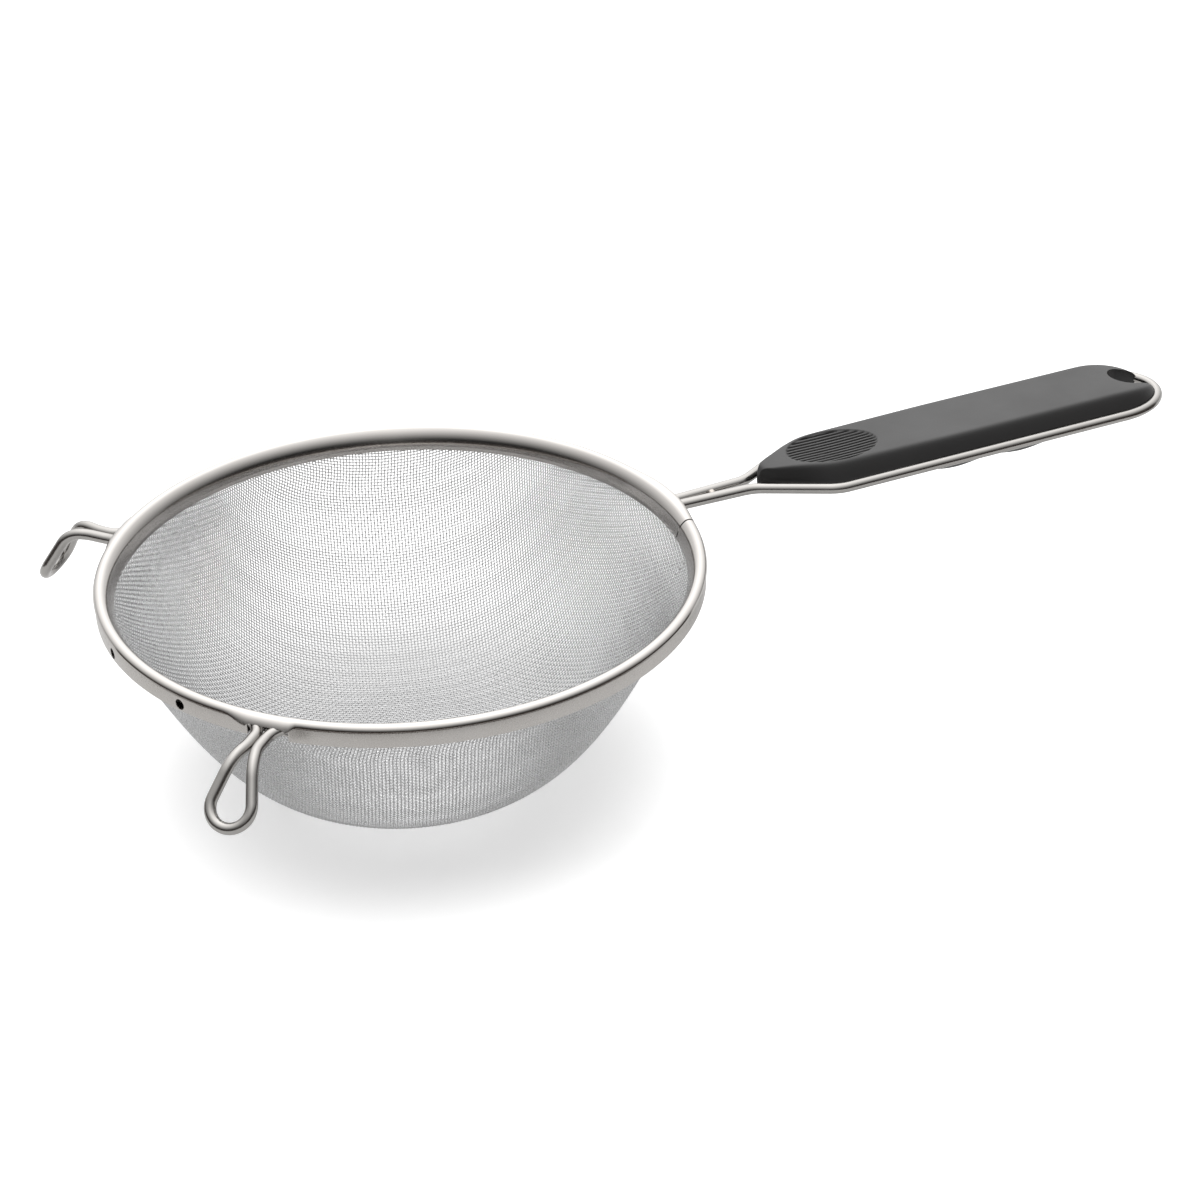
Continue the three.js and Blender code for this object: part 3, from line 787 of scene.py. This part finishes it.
    def bulge(self, piece: bpy.types.Object) -> None:
        """Swell the bead into a hood over each place where wires leave it.

        Args:
            piece: The cut band.
        """
        rows = vertices(piece) / MM - (0, 0, BEAD_HEIGHT)
        radius = np.hypot(rows[:, 0], rows[:, 1])
        azimuth = np.degrees(np.arctan2(rows[:, 1], rows[:, 0]))
        height = rows[:, 2].copy()
        around = np.degrees(np.arctan2(height, radius - RIM_RADIUS))
        above_skirt = smooth(height, *self.hood_rise) * (radius > RIM_RADIUS - 0.5)
        long, short, even = self.hook_hood_long, self.hook_hood_short, self.neck_hood_reach
        hook = (self.hook_hood, self.hook_hood_drop, self.hook_hood_fade)
        neck = (self.neck_hood, self.neck_hood_drop, self.neck_hood_fade)
        hoods = [
            (HOOK_AZIMUTHS["hook_left"], hook, long, short),
            (HOOK_AZIMUTHS["hook_right"], hook, short, long),
            (0.0, neck, even, even),
        ]
        for middle, (out, drop, fade), before, after in hoods:
            along = np.radians((azimuth - middle + 180) % 360 - 180) * RIM_RADIUS
            share = smooth(along, -before[0], -before[1]) * smooth(along, after[0], after[1])
            share = share * above_skirt * smooth(around, *fade)
            radius = radius + out * share
            height = height - drop * share * smooth(around, *self.hood_drop_fade)
        bearing = np.radians(azimuth)
        moved = np.stack([radius * np.cos(bearing), radius * np.sin(bearing), height], 1)
        move_vertices(piece, in_metres(moved))

    def build(self, finish: bpy.types.Material) -> None:
        """Fold, notch and drill the band.

        Args:
            finish: The strip's material.
        """
        outline = self.outline()
        deselect()
        bpy.ops.mesh.primitive_circle_add(vertices=len(outline), radius=1, fill_type="NOTHING")
        piece = bpy.context.object
        piece.name = "rim_folded_strip"
        move_vertices(piece, in_metres(np.stack([outline[:, 0], 0 * outline[:, 0], outline[:, 1]], 1)))
        bpy.ops.object.mode_set(mode="EDIT")
        bpy.ops.mesh.select_all(action="SELECT")
        bpy.ops.mesh.spin(steps=self.steps, angle=2 * math.pi, center=(0, 0, 0), axis=(0, 0, 1))
        bpy.ops.object.mode_set(mode="OBJECT")
        close_mesh(piece, self.merge)
        outside = RIM_RADIUS + 2 * RIM_TOP
        below, above = 2 * self.lip_bottom, 2 * RIM_TOP
        for azimuth in (0.0, *HOOK_AZIMUTHS.values()):
            radii, heights = (self.hem_radius - self.sheet, outside), (below, self.notch_top)
            cut(piece, self.block(azimuth, self.notch_half_width, radii, heights, self.notch_corner))
        radii, heights = (self.lip_radius - RIM_TOP, outside), (below, above)
        cut(piece, self.block(self.seam_azimuth, self.seam_gap / 2, radii, heights, 0))
        for azimuth in self.hole_azimuths:
            cut(piece, self.drill(azimuth))
        self.bulge(piece)
        smooth_shading(piece, self.shading)
        hand_over(piece, finish, "rim_band")


# The hooks

@dataclass
class RestHook:
    """A teardrop of wire, clamped in the bead and bent down so that the strainer rests on a pan's edge."""

    node: str
    exit_height: float = -1.5
    exit_bend: float = 6.0
    pinch: float = 1.52
    pinch_at: float = 86.0
    pinch_bend: float = 15.0
    bend_at: float = 88.7
    bend_radius: float = 8.7
    slope: float = 48.8
    skew_from: float = 79.5
    skew: float = 0.0
    eye_radius: float = 5.3
    eye_at: float = 103.8

    def point(self, run: float, lateral: float) -> tuple[float, float, float]:
        """Carry a point of the flat teardrop along the hook's side view.

        Args:
            run: The point's way out from the bowl's axis, along the wire.
            lateral: Its distance from the hook's middle plane.

        Returns:
            The point, bent down.
        """
        slope = math.radians(self.slope)
        bent = min(max((run - self.bend_at) / self.bend_radius, 0), slope)
        sloping = max(0.0, run - self.bend_at - self.bend_radius * slope)
        x = min(run, self.bend_at) + self.bend_radius * math.sin(bent) + sloping * math.cos(slope)
        drop = self.bend_radius * (1 - math.cos(bent)) + sloping * math.sin(slope)
        return (x, lateral, self.exit_height - drop)

    def skewed(self, rows: np.ndarray) -> np.ndarray:
        """Turn the wire aside outside the rim, as a hand-bent hook stands a little askew.

        Args:
            rows: Points of the wire.

        Returns:
            The turned points.
        """
        angle = math.radians(self.skew) * smooth(rows[:, 0], self.skew_from, self.bend_at)
        x, y = rows[:, 0] - self.skew_from, rows[:, 1]
        along = self.skew_from + x * np.cos(angle) - y * np.sin(angle)
        return np.stack([along, x * np.sin(angle) + y * np.cos(angle), rows[:, 2]], 1)

    def build(self, finish: bpy.types.Material) -> None:
        """Draw the hook's wire.

        Args:
            finish: The wire's material.
        """
        centre = self.pinch + self.pinch_bend
        reach = self.eye_at - self.pinch_at
        tilt = math.asin((self.pinch_bend + self.eye_radius) / math.hypot(reach, centre))
        spread = tilt - math.atan2(centre, reach)
        flat = []
        for i in range(9):
            angle = spread * i / 8
            run = self.pinch_at + self.pinch_bend * math.sin(angle)
            flat.append((run, centre - self.pinch_bend * math.cos(angle)))
        first = flat[-1]
        last = (self.eye_at - self.eye_radius * math.sin(spread), self.eye_radius * math.cos(spread))
        for i in range(1, 20):
            flat.append(tuple(a + (b - a) * i / 20 for a, b in zip(first, last)))
        for i in range(25):
            angle = (math.pi / 2 + spread) * (1 - i / 24)
            run = self.eye_at + self.eye_radius * math.cos(angle)
            flat.append((run, self.eye_radius * math.sin(angle)))
        half = rim_exit(self.pinch, self.exit_height, self.exit_bend)
        half += [self.point(run, lateral) for run, lateral in flat]
        path = turned(self.skewed(bent_double(half)), HOOK_AZIMUTHS[self.node])
        piece = draw_wires(f"{self.node}_wire", [path], WIRE_RADIUS, WIRE_ROUNDING)
        hand_over(piece, finish, self.node)


# The handle

@dataclass
class Handle:
    """One wire bent double, and the moulded grip that it seats round."""

    leg_gap: float = 3.2
    exit_height: float = -2.77
    exit_bend: float = 3.0
    start: float = 80.6
    droop: float = 0.0206
    neck_end: float = 104.5
    neck_end_half: float = 2.5
    shoulder: float = 125.5
    half_width: float = 13.9
    end_bend: float = 221.5
    end_length: float = 18.7
    fillet_radius: float = 12.0
    weld_at: float = 93.0
    weld_half: tuple[float, float, float] = (1.1, 1.3, 1.1)
    weld_lift: float = 0.1
    weld_seat: float = 0.01
    weld_shading: float = 40.0
    grip_start: float = 107.4
    grip_end: float = 238.4
    grip_merge: float = 0.002
    grip_shading: float = 38.0
    nose_half: float = 2.4
    nose_half_at: float = 107.5
    nose_blend: float = 1.2
    nose_length: float = 4.0
    tip_taper: float = 0.97
    tip_thinning: float = 0.9
    nose_share: float = 0.8
    nose_rise: tuple[float, float] = (107.0, 16.0)
    nose_belly: float = 0.3
    front_setback: float = 0.9
    rear_setback: float = 0.1
    setback_change: tuple[float, float] = (128.0, 172.0)
    top: float = 5.7
    side_inset: float = 4.8
    side_share: float = 0.3
    side_blend: float = 0.6
    crown_square: float = 0.45
    belly_square: float = 0.78
    belly: float = 4.3
    bump: float = 1.5
    bump_pitch: float = 22.0
    first_bump: float = 165.0
    bump_count: int = 2
    seat: float = 0.12
    notch_x: float = 231.0
    notch_radius: float = 5.3
    notch_mouth: float = 2.6
    pad_x: float = 131.2
    pad_length: float = 28.2
    pad_width: float = 17.4
    pad_depth: float = 0.35
    pad_step: float = 0.3
    pad_edge: tuple[float, float] = (0.0, 0.09)
    groove_pitch: float = 1.4
    groove_depth: float = 0.9
    groove_edge: tuple[float, float] = (0.03, 0.16)
    groove_power: int = 3
    pad_stations: tuple[float, float] = (116.0, 146.0)
    dome_start: float = 219.5
    dome_end: float = 238.9

    def height(self, x: np.ndarray | float) -> np.ndarray | float:
        """Give the height of the wire's middle at a place along the handle."""
        return self.exit_height - self.droop * (x - self.start)

    def fillet(self, before: Vector, corner: Vector, after: Vector) -> list[Vector]:
        """Round a corner of the wire's plan.

        Args:
            before: The stretch's start.
            corner: Where the two stretches would meet.
            after: The next stretch's end.

        Returns:
            Points of the bend.
        """
        into = (corner - before).normalized()
        out = (after - corner).normalized()
        setback = self.fillet_radius * math.tan(into.angle(out) / 2)
        first, last = corner - into * setback, corner + out * setback
        steps = [i / 16 for i in range(17)]
        return [first * (1 - t) ** 2 + corner * 2 * t * (1 - t) + last * t ** 2 for t in steps]

    def path(self, with_tails: bool) -> np.ndarray:
        """Lay out the handle wire.

        Args:
            with_tails: Whether the tails in the bead are part of it.

        Returns:
            Rows along the wire, from one tail to the other.
        """
        start = Vector((self.start, self.leg_gap / 2))
        neck = Vector((self.neck_end, self.neck_end_half))
        shoulder = Vector((self.shoulder, self.half_width))
        end = Vector((self.end_bend, self.half_width))
        plan = self.fillet(start, neck, shoulder) + self.fillet(neck, shoulder, end)
        plan += [shoulder.lerp(end, t) for t in (0.25, 0.5, 0.75)]
        for i in range(41):
            angle = math.pi / 2 * (1 - i / 40)
            x = self.end_bend + self.end_length * math.cos(angle)
            plan.append(Vector((x, self.half_width * math.sin(angle))))
        leg = [(p.x, p.y, self.height(p.x)) for p in plan]
        tail = rim_exit(self.leg_gap / 2, self.exit_height, self.exit_bend) if with_tails else []
        return bent_double(tail + leg)

    def half_width_at(self, x: np.ndarray) -> np.ndarray:
        """Give half of the grip's width.

        Args:
            x: Places along the handle.

        Returns:
            The half width at each.
        """
        change = smooth(x, *self.setback_change)
        full = self.half_width - (self.front_setback + (self.rear_setback - self.front_setback) * change)
        spread = self.half_width - self.front_setback - self.nose_half
        slope = spread / (self.shoulder - self.nose_half_at)
        nose = self.nose_half + slope * (x - self.nose_half_at)
        blend = self.nose_blend
        width = -blend * np.log(np.exp(-nose / blend) + np.exp(-full / blend))
        past = np.maximum(0, x - self.end_bend) / (self.end_length - self.rear_setback)
        return np.maximum(width, 0.2) * np.sqrt(np.maximum(1 - past ** 2, 0))

    def dome(self, x: np.ndarray) -> np.ndarray:
        """Give how much of the grip's height is left where it rounds off towards its end."""
        past = np.clip((x - self.dome_start) / (self.dome_end - self.dome_start), 0, 1)
        return np.sqrt(1 - past ** 2)

    def top_at(self, x: np.ndarray) -> np.ndarray:
        """Give the crown's height above the wire.

        Args:
            x: Places along the handle.

        Returns:
            The height at each.
        """
        start, length = self.nose_rise
        rise = np.sin(math.pi / 2 * np.clip((x - start) / length, 0, 1))
        return self.top * (self.nose_share + (1 - self.nose_share) * rise) * self.dome(x)

    def belly_at(self, x: np.ndarray) -> np.ndarray:
        """Give the belly's depth below the wire.

        Args:
            x: Places along the handle.

        Returns:
            The depth at each.
        """
        rise = smooth(x, self.grip_start - 3.5, self.shoulder + 10)
        nose = self.nose_belly + (1 - self.nose_belly) * rise
        place = (x - self.first_bump) / self.bump_pitch + 0.5
        bumps = np.where((place > 0) & (place < self.bump_count), np.sin(math.pi * place) ** 2, 0)
        return self.belly * nose * self.dome(x) + self.bump * bumps

    def stations(self) -> np.ndarray:
        """Lay out the grip's sections.

        Returns:
            Their places along the handle, close together at the pad and the ends.
        """
        first, last = self.pad_stations
        return np.concatenate([
            np.linspace(self.grip_start, first, 26)[:-1],
            np.linspace(first, last, 101)[:-1],
            np.linspace(last, self.end_bend, 77)[:-1],
            np.linspace(self.end_bend, self.grip_end, 30),
        ])

    def section_angles(self) -> np.ndarray:
        """Lay out a section's points.

        Returns:
            Their angles, close together across the flat crown.
        """
        flat = 0.8
        across = np.linspace(flat, -flat, 149)
        crown = np.arccos(np.sign(across) * np.abs(across) ** (1 / self.crown_square))
        side = np.linspace(0, crown[0], 15)[:-1]
        under = np.linspace(math.pi, 2 * math.pi, 47)
        return np.concatenate([side, crown, math.pi - side[::-1], under[1:]])

    def pad_dip(self, x: np.ndarray, y: np.ndarray) -> np.ndarray:
        """Give how far the thumb pad's dish and its lengthwise grooves dip below the crown.

        Args:
            x: Places along the handle.
            y: Places across it.

        Returns:
            The dip in millimetres, 0 outside the pad.
        """
        inside = 1 - ((x - self.pad_x) / (self.pad_length / 2)) ** 2 - (y / (self.pad_width / 2)) ** 2
        dish = self.pad_step * smooth(inside, *self.pad_edge) + self.pad_depth * np.maximum(inside, 0)
        groove = (0.5 - 0.5 * np.cos(2 * math.pi * y / self.groove_pitch)) ** self.groove_power
        return dish + self.groove_depth * groove * smooth(inside, *self.groove_edge)

    def build_wire(self, finish: bpy.types.Material) -> None:
        """Draw the handle's wire in the given finish."""
        piece = draw_wires("handle_bent_wire", [self.path(True)], WIRE_RADIUS, WIRE_ROUNDING)
        hand_over(piece, finish, "handle_wire")

    def build_weld(self, finish: bpy.types.Material) -> None:
        """Melt a small weld between the two legs of the neck.

        Args:
            finish: The weld's material.
        """
        deselect()
        bpy.ops.mesh.primitive_ico_sphere_add(subdivisions=5, radius=1)
        piece = bpy.context.object
        piece.name = "neck_weld_bead"
        rows = vertices(piece)
        ripple = 1 + 0.05 * np.sin(7 * rows[:, 0]) * np.cos(3 * rows[:, 1])
        ripple = ripple + 0.04 * np.sin(5 * rows[:, 1] + 2 * rows[:, 0])
        middle = (self.weld_at, 0, self.height(self.weld_at) + self.weld_lift)
        rows = rows * ripple[:, None] * self.weld_half + middle
        move_vertices(piece, in_metres(rows))
        cut(piece, draw_wires("weld_seat", [self.path(True)], WIRE_RADIUS + self.weld_seat, WIRE_ROUNDING))
        smooth_shading(piece, self.weld_shading)
        hand_over(piece, finish, "neck_weld")

    def notch_cutter(self) -> bpy.types.Object:
        """Make the cutter of the hanging notch.

        Returns:
            A tall prism with the notch's plan.
        """
        past = self.grip_end + 2 * self.notch_radius
        plan = [(past, -self.notch_mouth), (past, self.notch_mouth)]
        for i in range(31):
            angle = math.pi / 2 + math.pi * i / 30
            x = self.notch_x + self.notch_radius * math.cos(angle)
            plan.append((x, self.notch_radius * math.sin(angle)))
        low = self.height(self.notch_x) - 3 * self.belly
        rise = 6 * self.top
        deselect()
        bpy.ops.mesh.primitive_circle_add(vertices=len(plan), radius=1, fill_type="NGON")
        piece = bpy.context.object
        move_vertices(piece, in_metres([(x, y, low) for x, y in plan]))
        bpy.ops.object.mode_set(mode="EDIT")
        bpy.ops.mesh.select_all(action="SELECT")
        bpy.ops.mesh.extrude_region_move(TRANSFORM_OT_translate={"value": (0, 0, rise * MM)})
        bpy.ops.mesh.select_all(action="SELECT")
        bpy.ops.mesh.normals_make_consistent(inside=False)
        bpy.ops.object.mode_set(mode="OBJECT")
        return piece

    def build_grip(self, finish: bpy.types.Material) -> None:
        """Mould the grip as a sheet wrapped to sections, then seat it on the wire and notch it.

        Args:
            finish: The grip's material.
        """
        stations = self.stations()
        angles = self.section_angles()
        deselect()
        along, round_it = len(stations) - 1, len(angles) - 1
        bpy.ops.mesh.primitive_grid_add(x_subdivisions=along, y_subdivisions=round_it, size=2)
        piece = bpy.context.object
        piece.name = "grip_moulding"
        rows = vertices(piece)
        i = np.rint((rows[:, 0] + 1) / 2 * along).astype(int)
        j = np.rint((rows[:, 1] + 1) / 2 * round_it).astype(int)
        x, angle = stations[i], angles[j]
        c, s = np.cos(angle), np.sin(angle)
        square = np.where(s >= 0, self.crown_square, self.belly_square)
        tip = ((self.grip_start + self.nose_length - x) / self.nose_length).clip(0, 1)
        half = self.half_width_at(x) * np.sqrt(1 - self.tip_taper * tip ** 2)
        y = half * np.sign(c) * np.abs(c) ** square
        thinning = np.sqrt(1 - self.tip_thinning * tip ** 6)
        inset = np.maximum(self.side_inset * np.tanh(self.side_share * half / self.side_inset), 1e-6)
        top = self.top_at(x)
        side = top / inset * (half - np.abs(y))
        crown = -self.side_blend * np.logaddexp(-top / self.side_blend, -side / self.side_blend)
        rise = np.where(s >= 0, np.maximum(crown, 0), -self.belly_at(x) * np.abs(s) ** square)
        z = self.height(x) + rise * thinning
        z = z - np.where(s > 0, self.pad_dip(x, y), 0)
        move_vertices(piece, in_metres(np.stack([x, y, z], 1)))
        close_mesh(piece, self.grip_merge)
        cut(piece, draw_wires("grip_groove", [self.path(False)], WIRE_RADIUS + self.seat, WIRE_ROUNDING))
        cut(piece, self.notch_cutter())
        smooth_shading(piece, self.grip_shading)
        hand_over(piece, finish, "grip")


# The studio

@dataclass
class Viewpoint:
    """The photograph's camera: where it stands round the rim's middle, and where that falls in the picture.

    The angles are degrees, the distance and the sensor are millimetres, and the rest is pixels.
    """

    turn: float = 22.6
    elevation: float = 29.66
    roll: float = -3.58
    distance: float = 10.05 * RIM_RADIUS
    focal: float = 3000.0
    middle: tuple[float, float] = (401.3, 568.0)
    picture: float = 1200.0
    sensor: float = 36.0

    def build(self) -> None:
        """Set the scene's camera."""
        e, roll = math.radians(self.elevation), math.radians(self.roll)
        back = Vector((0, -math.cos(e), math.sin(e)))
        right = Vector((1, 0, 0))
        up = back.cross(right)
        level = Matrix((right, -up, -back))
        across = (self.middle[0] - self.picture / 2) / self.focal
        down = (self.middle[1] - self.picture / 2) / self.focal
        pan = Matrix.Rotation(math.atan2(across, 1), 3, "Y")
        tilt = Matrix.Rotation(-math.atan2(down, math.hypot(across, 1)), 3, "X")
        rows = pan @ tilt @ Matrix.Rotation(roll, 3, "Z") @ level
        axes = Matrix((rows[0], -rows[1], -rows[2])).transposed()
        to_part = Matrix.Rotation(-math.radians(self.turn), 3, "Z")
        place = to_part @ (back * self.distance) + Vector((0, 0, BEAD_HEIGHT))
        camera = bpy.data.cameras.new("camera")
        camera.sensor_width = self.sensor
        camera.lens = self.sensor * self.focal / self.picture
        camera.clip_start, camera.clip_end = 0.01, 50.0
        stand = bpy.data.objects.new("camera", camera)
        stand.matrix_world = Matrix.Translation(place * MM) @ (to_part @ axes).to_4x4()
        bpy.context.collection.objects.link(stand)
        bpy.context.scene.camera = stand


@dataclass
class Studio:
    """A white sweep under a soft box, with a dark room on the camera's side for the steel to mirror: a
    dimly glowing screen, a painted dark reflection.
    """

    facing: float = -112.6
    sky: float = 0.3
    dimmest: float = 0.04
    brightening: float = 0.9
    glare: float = 0.5
    back_share: float = 0.5
    side_share: float = 0.4
    dim_until: float = -0.5
    floor_size: float = 16.0
    # Painted glow of the floor: floor_glow for mirrors, and floor_lift for the camera, from near the axis
    # out past floor_reach.
    floor_glow: float = 0.12
    floor_lift: tuple[float, float] = (0.3, 0.72)
    floor_reach: tuple[float, float] = (0.045, 0.1)
    paper: str = "#f0f0f0"
    box_size: tuple[float, float] = (3.2, 3.0)
    box_height: float = 1.7
    box_behind: float = 0.5
    box_aim: tuple[float, float, float] = (0.05, 0.0, 0.04)
    box_radiance: float = 1.1
    room: str = "#4b4440"
    room_radius: float = 0.34
    room_height: float = 0.12
    room_half_angle: float = 110.0

    def floor(self) -> None:
        """Lay the floor with a painted glow, so that it reads white: a little for what mirrors it, and for
        the camera more and more away from the bowl's axis, which pales the shadow there.
        """
        deselect()
        bpy.ops.mesh.primitive_plane_add(size=self.floor_size)
        sweep = bpy.context.object
        sweep.name = "floor"
        material = bpy.data.materials.new("studio_paper")
        material.use_nodes = True
        tree = material.node_tree
        tree.nodes.clear()
        paper = add_node(tree, "BsdfDiffuse", {"Color": linear(self.paper)})
        coords = add_node(tree, "TexCoord")
        away = add_node(tree, "VectorMath", {0: coords.outputs["Object"]}, operation="LENGTH")
        # Painted light: the camera's glow on the floor grows away from the bowl's axis, so the shadow pales
        # outwards.
        painted_glow = add_node(tree, "MapRange", {
            "Value": away.outputs["Value"],
            "From Min": self.floor_reach[0],
            "From Max": self.floor_reach[1],
            "To Min": self.floor_lift[0],
            "To Max": self.floor_lift[1],
        }, interpolation_type="SMOOTHSTEP")
        light = add_node(tree, "LightPath").outputs
        ends = {"A": self.floor_glow, "B": painted_glow.outputs[0]}
        glow = add_node(tree, "Mix", {"Factor": light["Is Camera Ray"], **ends})
        either = {0: light["Is Camera Ray"], 1: light["Is Glossy Ray"]}
        some = add_node(tree, "Math", either, operation="MAXIMUM")
        either = {0: some.outputs[0], 1: light["Is Transmission Ray"]}
        seen = add_node(tree, "Math", either, operation="MAXIMUM")
        strength = add_node(tree, "Math", {0: glow.outputs[0], 1: seen.outputs[0]}, operation="MULTIPLY")
        lift = add_node(tree, "Emission", {"Strength": strength.outputs[0]})
        both = add_node(tree, "AddShader", {0: paper.outputs[0], 1: lift.outputs[0]})
        add_node(tree, "OutputMaterial", {"Surface": both.outputs[0]})
        sweep.data.materials.append(material)

    def world(self) -> None:
        """Surround the scene with white for the camera, and with a sky that mirrors see.

        That sky is bright overhead and behind the strainer and dims towards the camera, so round steel
        turns from white at its top to dark at its side.
        """
        world = bpy.data.worlds.new("studio")
        world.use_nodes = True
        world.cycles.sampling_method = "NONE"
        tree = world.node_tree
        coords = add_node(tree, "TexCoord").outputs["Generated"]
        middle = math.radians(self.facing + 180)
        lean = (self.back_share * math.cos(middle), self.back_share * math.sin(middle), 1.0)
        across = (self.side_share * math.sin(middle), -self.side_share * math.cos(middle), 0.0)
        rise = add_node(tree, "VectorMath", {0: coords, 1: lean}, operation="DOT_PRODUCT")
        aside = add_node(tree, "VectorMath", {0: coords, 1: across}, operation="DOT_PRODUCT")
        far = add_node(tree, "Math", {0: aside.outputs["Value"]}, operation="ABSOLUTE")
        level = add_node(tree, "Math", {0: rise.outputs["Value"], 1: far.outputs[0]}, operation="SUBTRACT")
        above = add_node(tree, "Math", {0: level.outputs[0], 1: self.dim_until}, operation="SUBTRACT")
        depth = add_node(tree, "Math", {0: above.outputs[0], 1: self.dimmest}, operation="MAXIMUM")
        steps = {0: depth.outputs[0], 1: self.glare, 2: self.brightening}
        gain = add_node(tree, "Math", steps, operation="MULTIPLY_ADD")
        mirrored = add_node(tree, "Math", {0: depth.outputs[0], 1: gain.outputs[0]}, operation="MULTIPLY")
        light = add_node(tree, "LightPath").outputs
        ends = {"A": self.sky, "B": mirrored.outputs[0]}
        soft = add_node(tree, "Mix", {"Factor": light["Is Glossy Ray"], **ends})
        total = add_node(tree, "Mix", {"Factor": light["Is Camera Ray"], "A": soft.outputs[0], "B": 1.0})
        sky = tree.nodes["Background"]
        sky.inputs["Color"].default_value = (1, 1, 1, 1)
        tree.links.new(total.outputs["Result"], sky.inputs["Strength"])
        bpy.context.scene.world = world

    def soft_box(self) -> None:
        """Hang the soft box above and behind the strainer, facing it and mirrored by nothing."""
        lamp = bpy.data.lights.new("top_box", "AREA")
        lamp.shape = "RECTANGLE"
        lamp.size, lamp.size_y = self.box_size
        lamp.energy = 4 * self.box_radiance * self.box_size[0] * self.box_size[1]
        middle = math.radians(self.facing + 180)
        behind = Vector((math.cos(middle), math.sin(middle), 0))
        place = Vector((0, 0, self.box_height)) + behind * self.box_behind
        aim = Vector(self.box_aim) - place
        stand = bpy.data.objects.new("top_box", lamp)
        stand.matrix_world = Matrix.Translation(place) @ aim.to_track_quat("-Z", "Y").to_matrix().to_4x4()
        stand.visible_camera = False
        stand.visible_glossy = False
        bpy.context.collection.objects.link(stand)

    def dark_room(self) -> None:
        """Stand a dimly glowing dark screen round the camera's side, seen only by the steel and by the
        grip's sheen: a painted dark reflection.
        """
        deselect()
        bpy.ops.mesh.primitive_circle_add(vertices=96, radius=self.room_radius, fill_type="NOTHING")
        screen = bpy.context.object
        screen.name = "dark_room"
        bpy.ops.object.mode_set(mode="EDIT")
        bpy.ops.mesh.select_all(action="SELECT")
        bpy.ops.mesh.extrude_edges_move(TRANSFORM_OT_translate={"value": (0, 0, self.room_height)})
        bpy.ops.object.mode_set(mode="OBJECT")
        middle = math.radians(self.facing)
        ahead = Vector((math.cos(middle), math.sin(middle), 0))
        limit = math.cos(math.radians(self.room_half_angle)) * self.room_radius
        bpy.context.tool_settings.mesh_select_mode = (False, False, True)
        for face in screen.data.polygons:
            face.select = face.center.dot(ahead) < limit
        bpy.ops.object.mode_set(mode="EDIT")
        bpy.ops.mesh.delete(type="FACE")
        bpy.ops.object.mode_set(mode="OBJECT")
        material = bpy.data.materials.new("painted_dark_reflection")
        material.use_nodes = True
        tree = material.node_tree
        tree.nodes.clear()
        coords = add_node(tree, "TexCoord")
        place = add_node(tree, "SeparateXYZ", {0: coords.outputs["Object"]})
        rise = add_node(tree, "MapRange", {
            "Value": place.outputs["Z"],
            "From Min": 0.5 * self.room_height,
            "From Max": self.room_height,
        }, interpolation_type="SMOOTHSTEP")
        # Painted reflection: a dim dark glow that only mirrors see, fading out towards the screen's top.
        cloth = add_node(tree, "Emission", {"Color": linear(self.room), "Strength": 1.0})
        clear = add_node(tree, "BsdfTransparent")
        fade = add_node(tree, "MixShader", {0: rise.outputs[0], 1: cloth.outputs[0], 2: clear.outputs[0]})
        add_node(tree, "OutputMaterial", {"Surface": fade.outputs[0]})
        screen.data.materials.append(material)
        screen.visible_camera = False
        screen.visible_diffuse = False
        screen.visible_shadow = False

    def build(self) -> None:
        """Set the floor, the surroundings, the soft box and the dark room."""
        self.floor()
        self.world()
        self.soft_box()
        self.dark_room()
        bpy.context.scene.view_settings.view_transform = "Standard"


def main() -> None:
    """Build the strainer's pieces, its camera and its studio."""
    logging.basicConfig(level=logging.INFO, format="%(name)s: %(message)s")
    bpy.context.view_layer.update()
    Viewpoint().build()
    Studio().build()
    wire = DRAWN_WIRE.make()
    WovenBowl().build(CLOTH_WIRE.make())
    FoldedRim().build(ROLLED_STRIP.make())
    RestHook("hook_left").build(wire)
    RestHook("hook_right", bend_at=90.2, bend_radius=6.94, slope=58.3, skew=-7.5, eye_at=105.6).build(wire)
    handle = Handle()
    handle.build_wire(wire)
    handle.build_weld(WELD_BEAD.make())
    handle.build_grip(GRIP_PLASTIC.make())


if __name__ == "__main__":
    main()
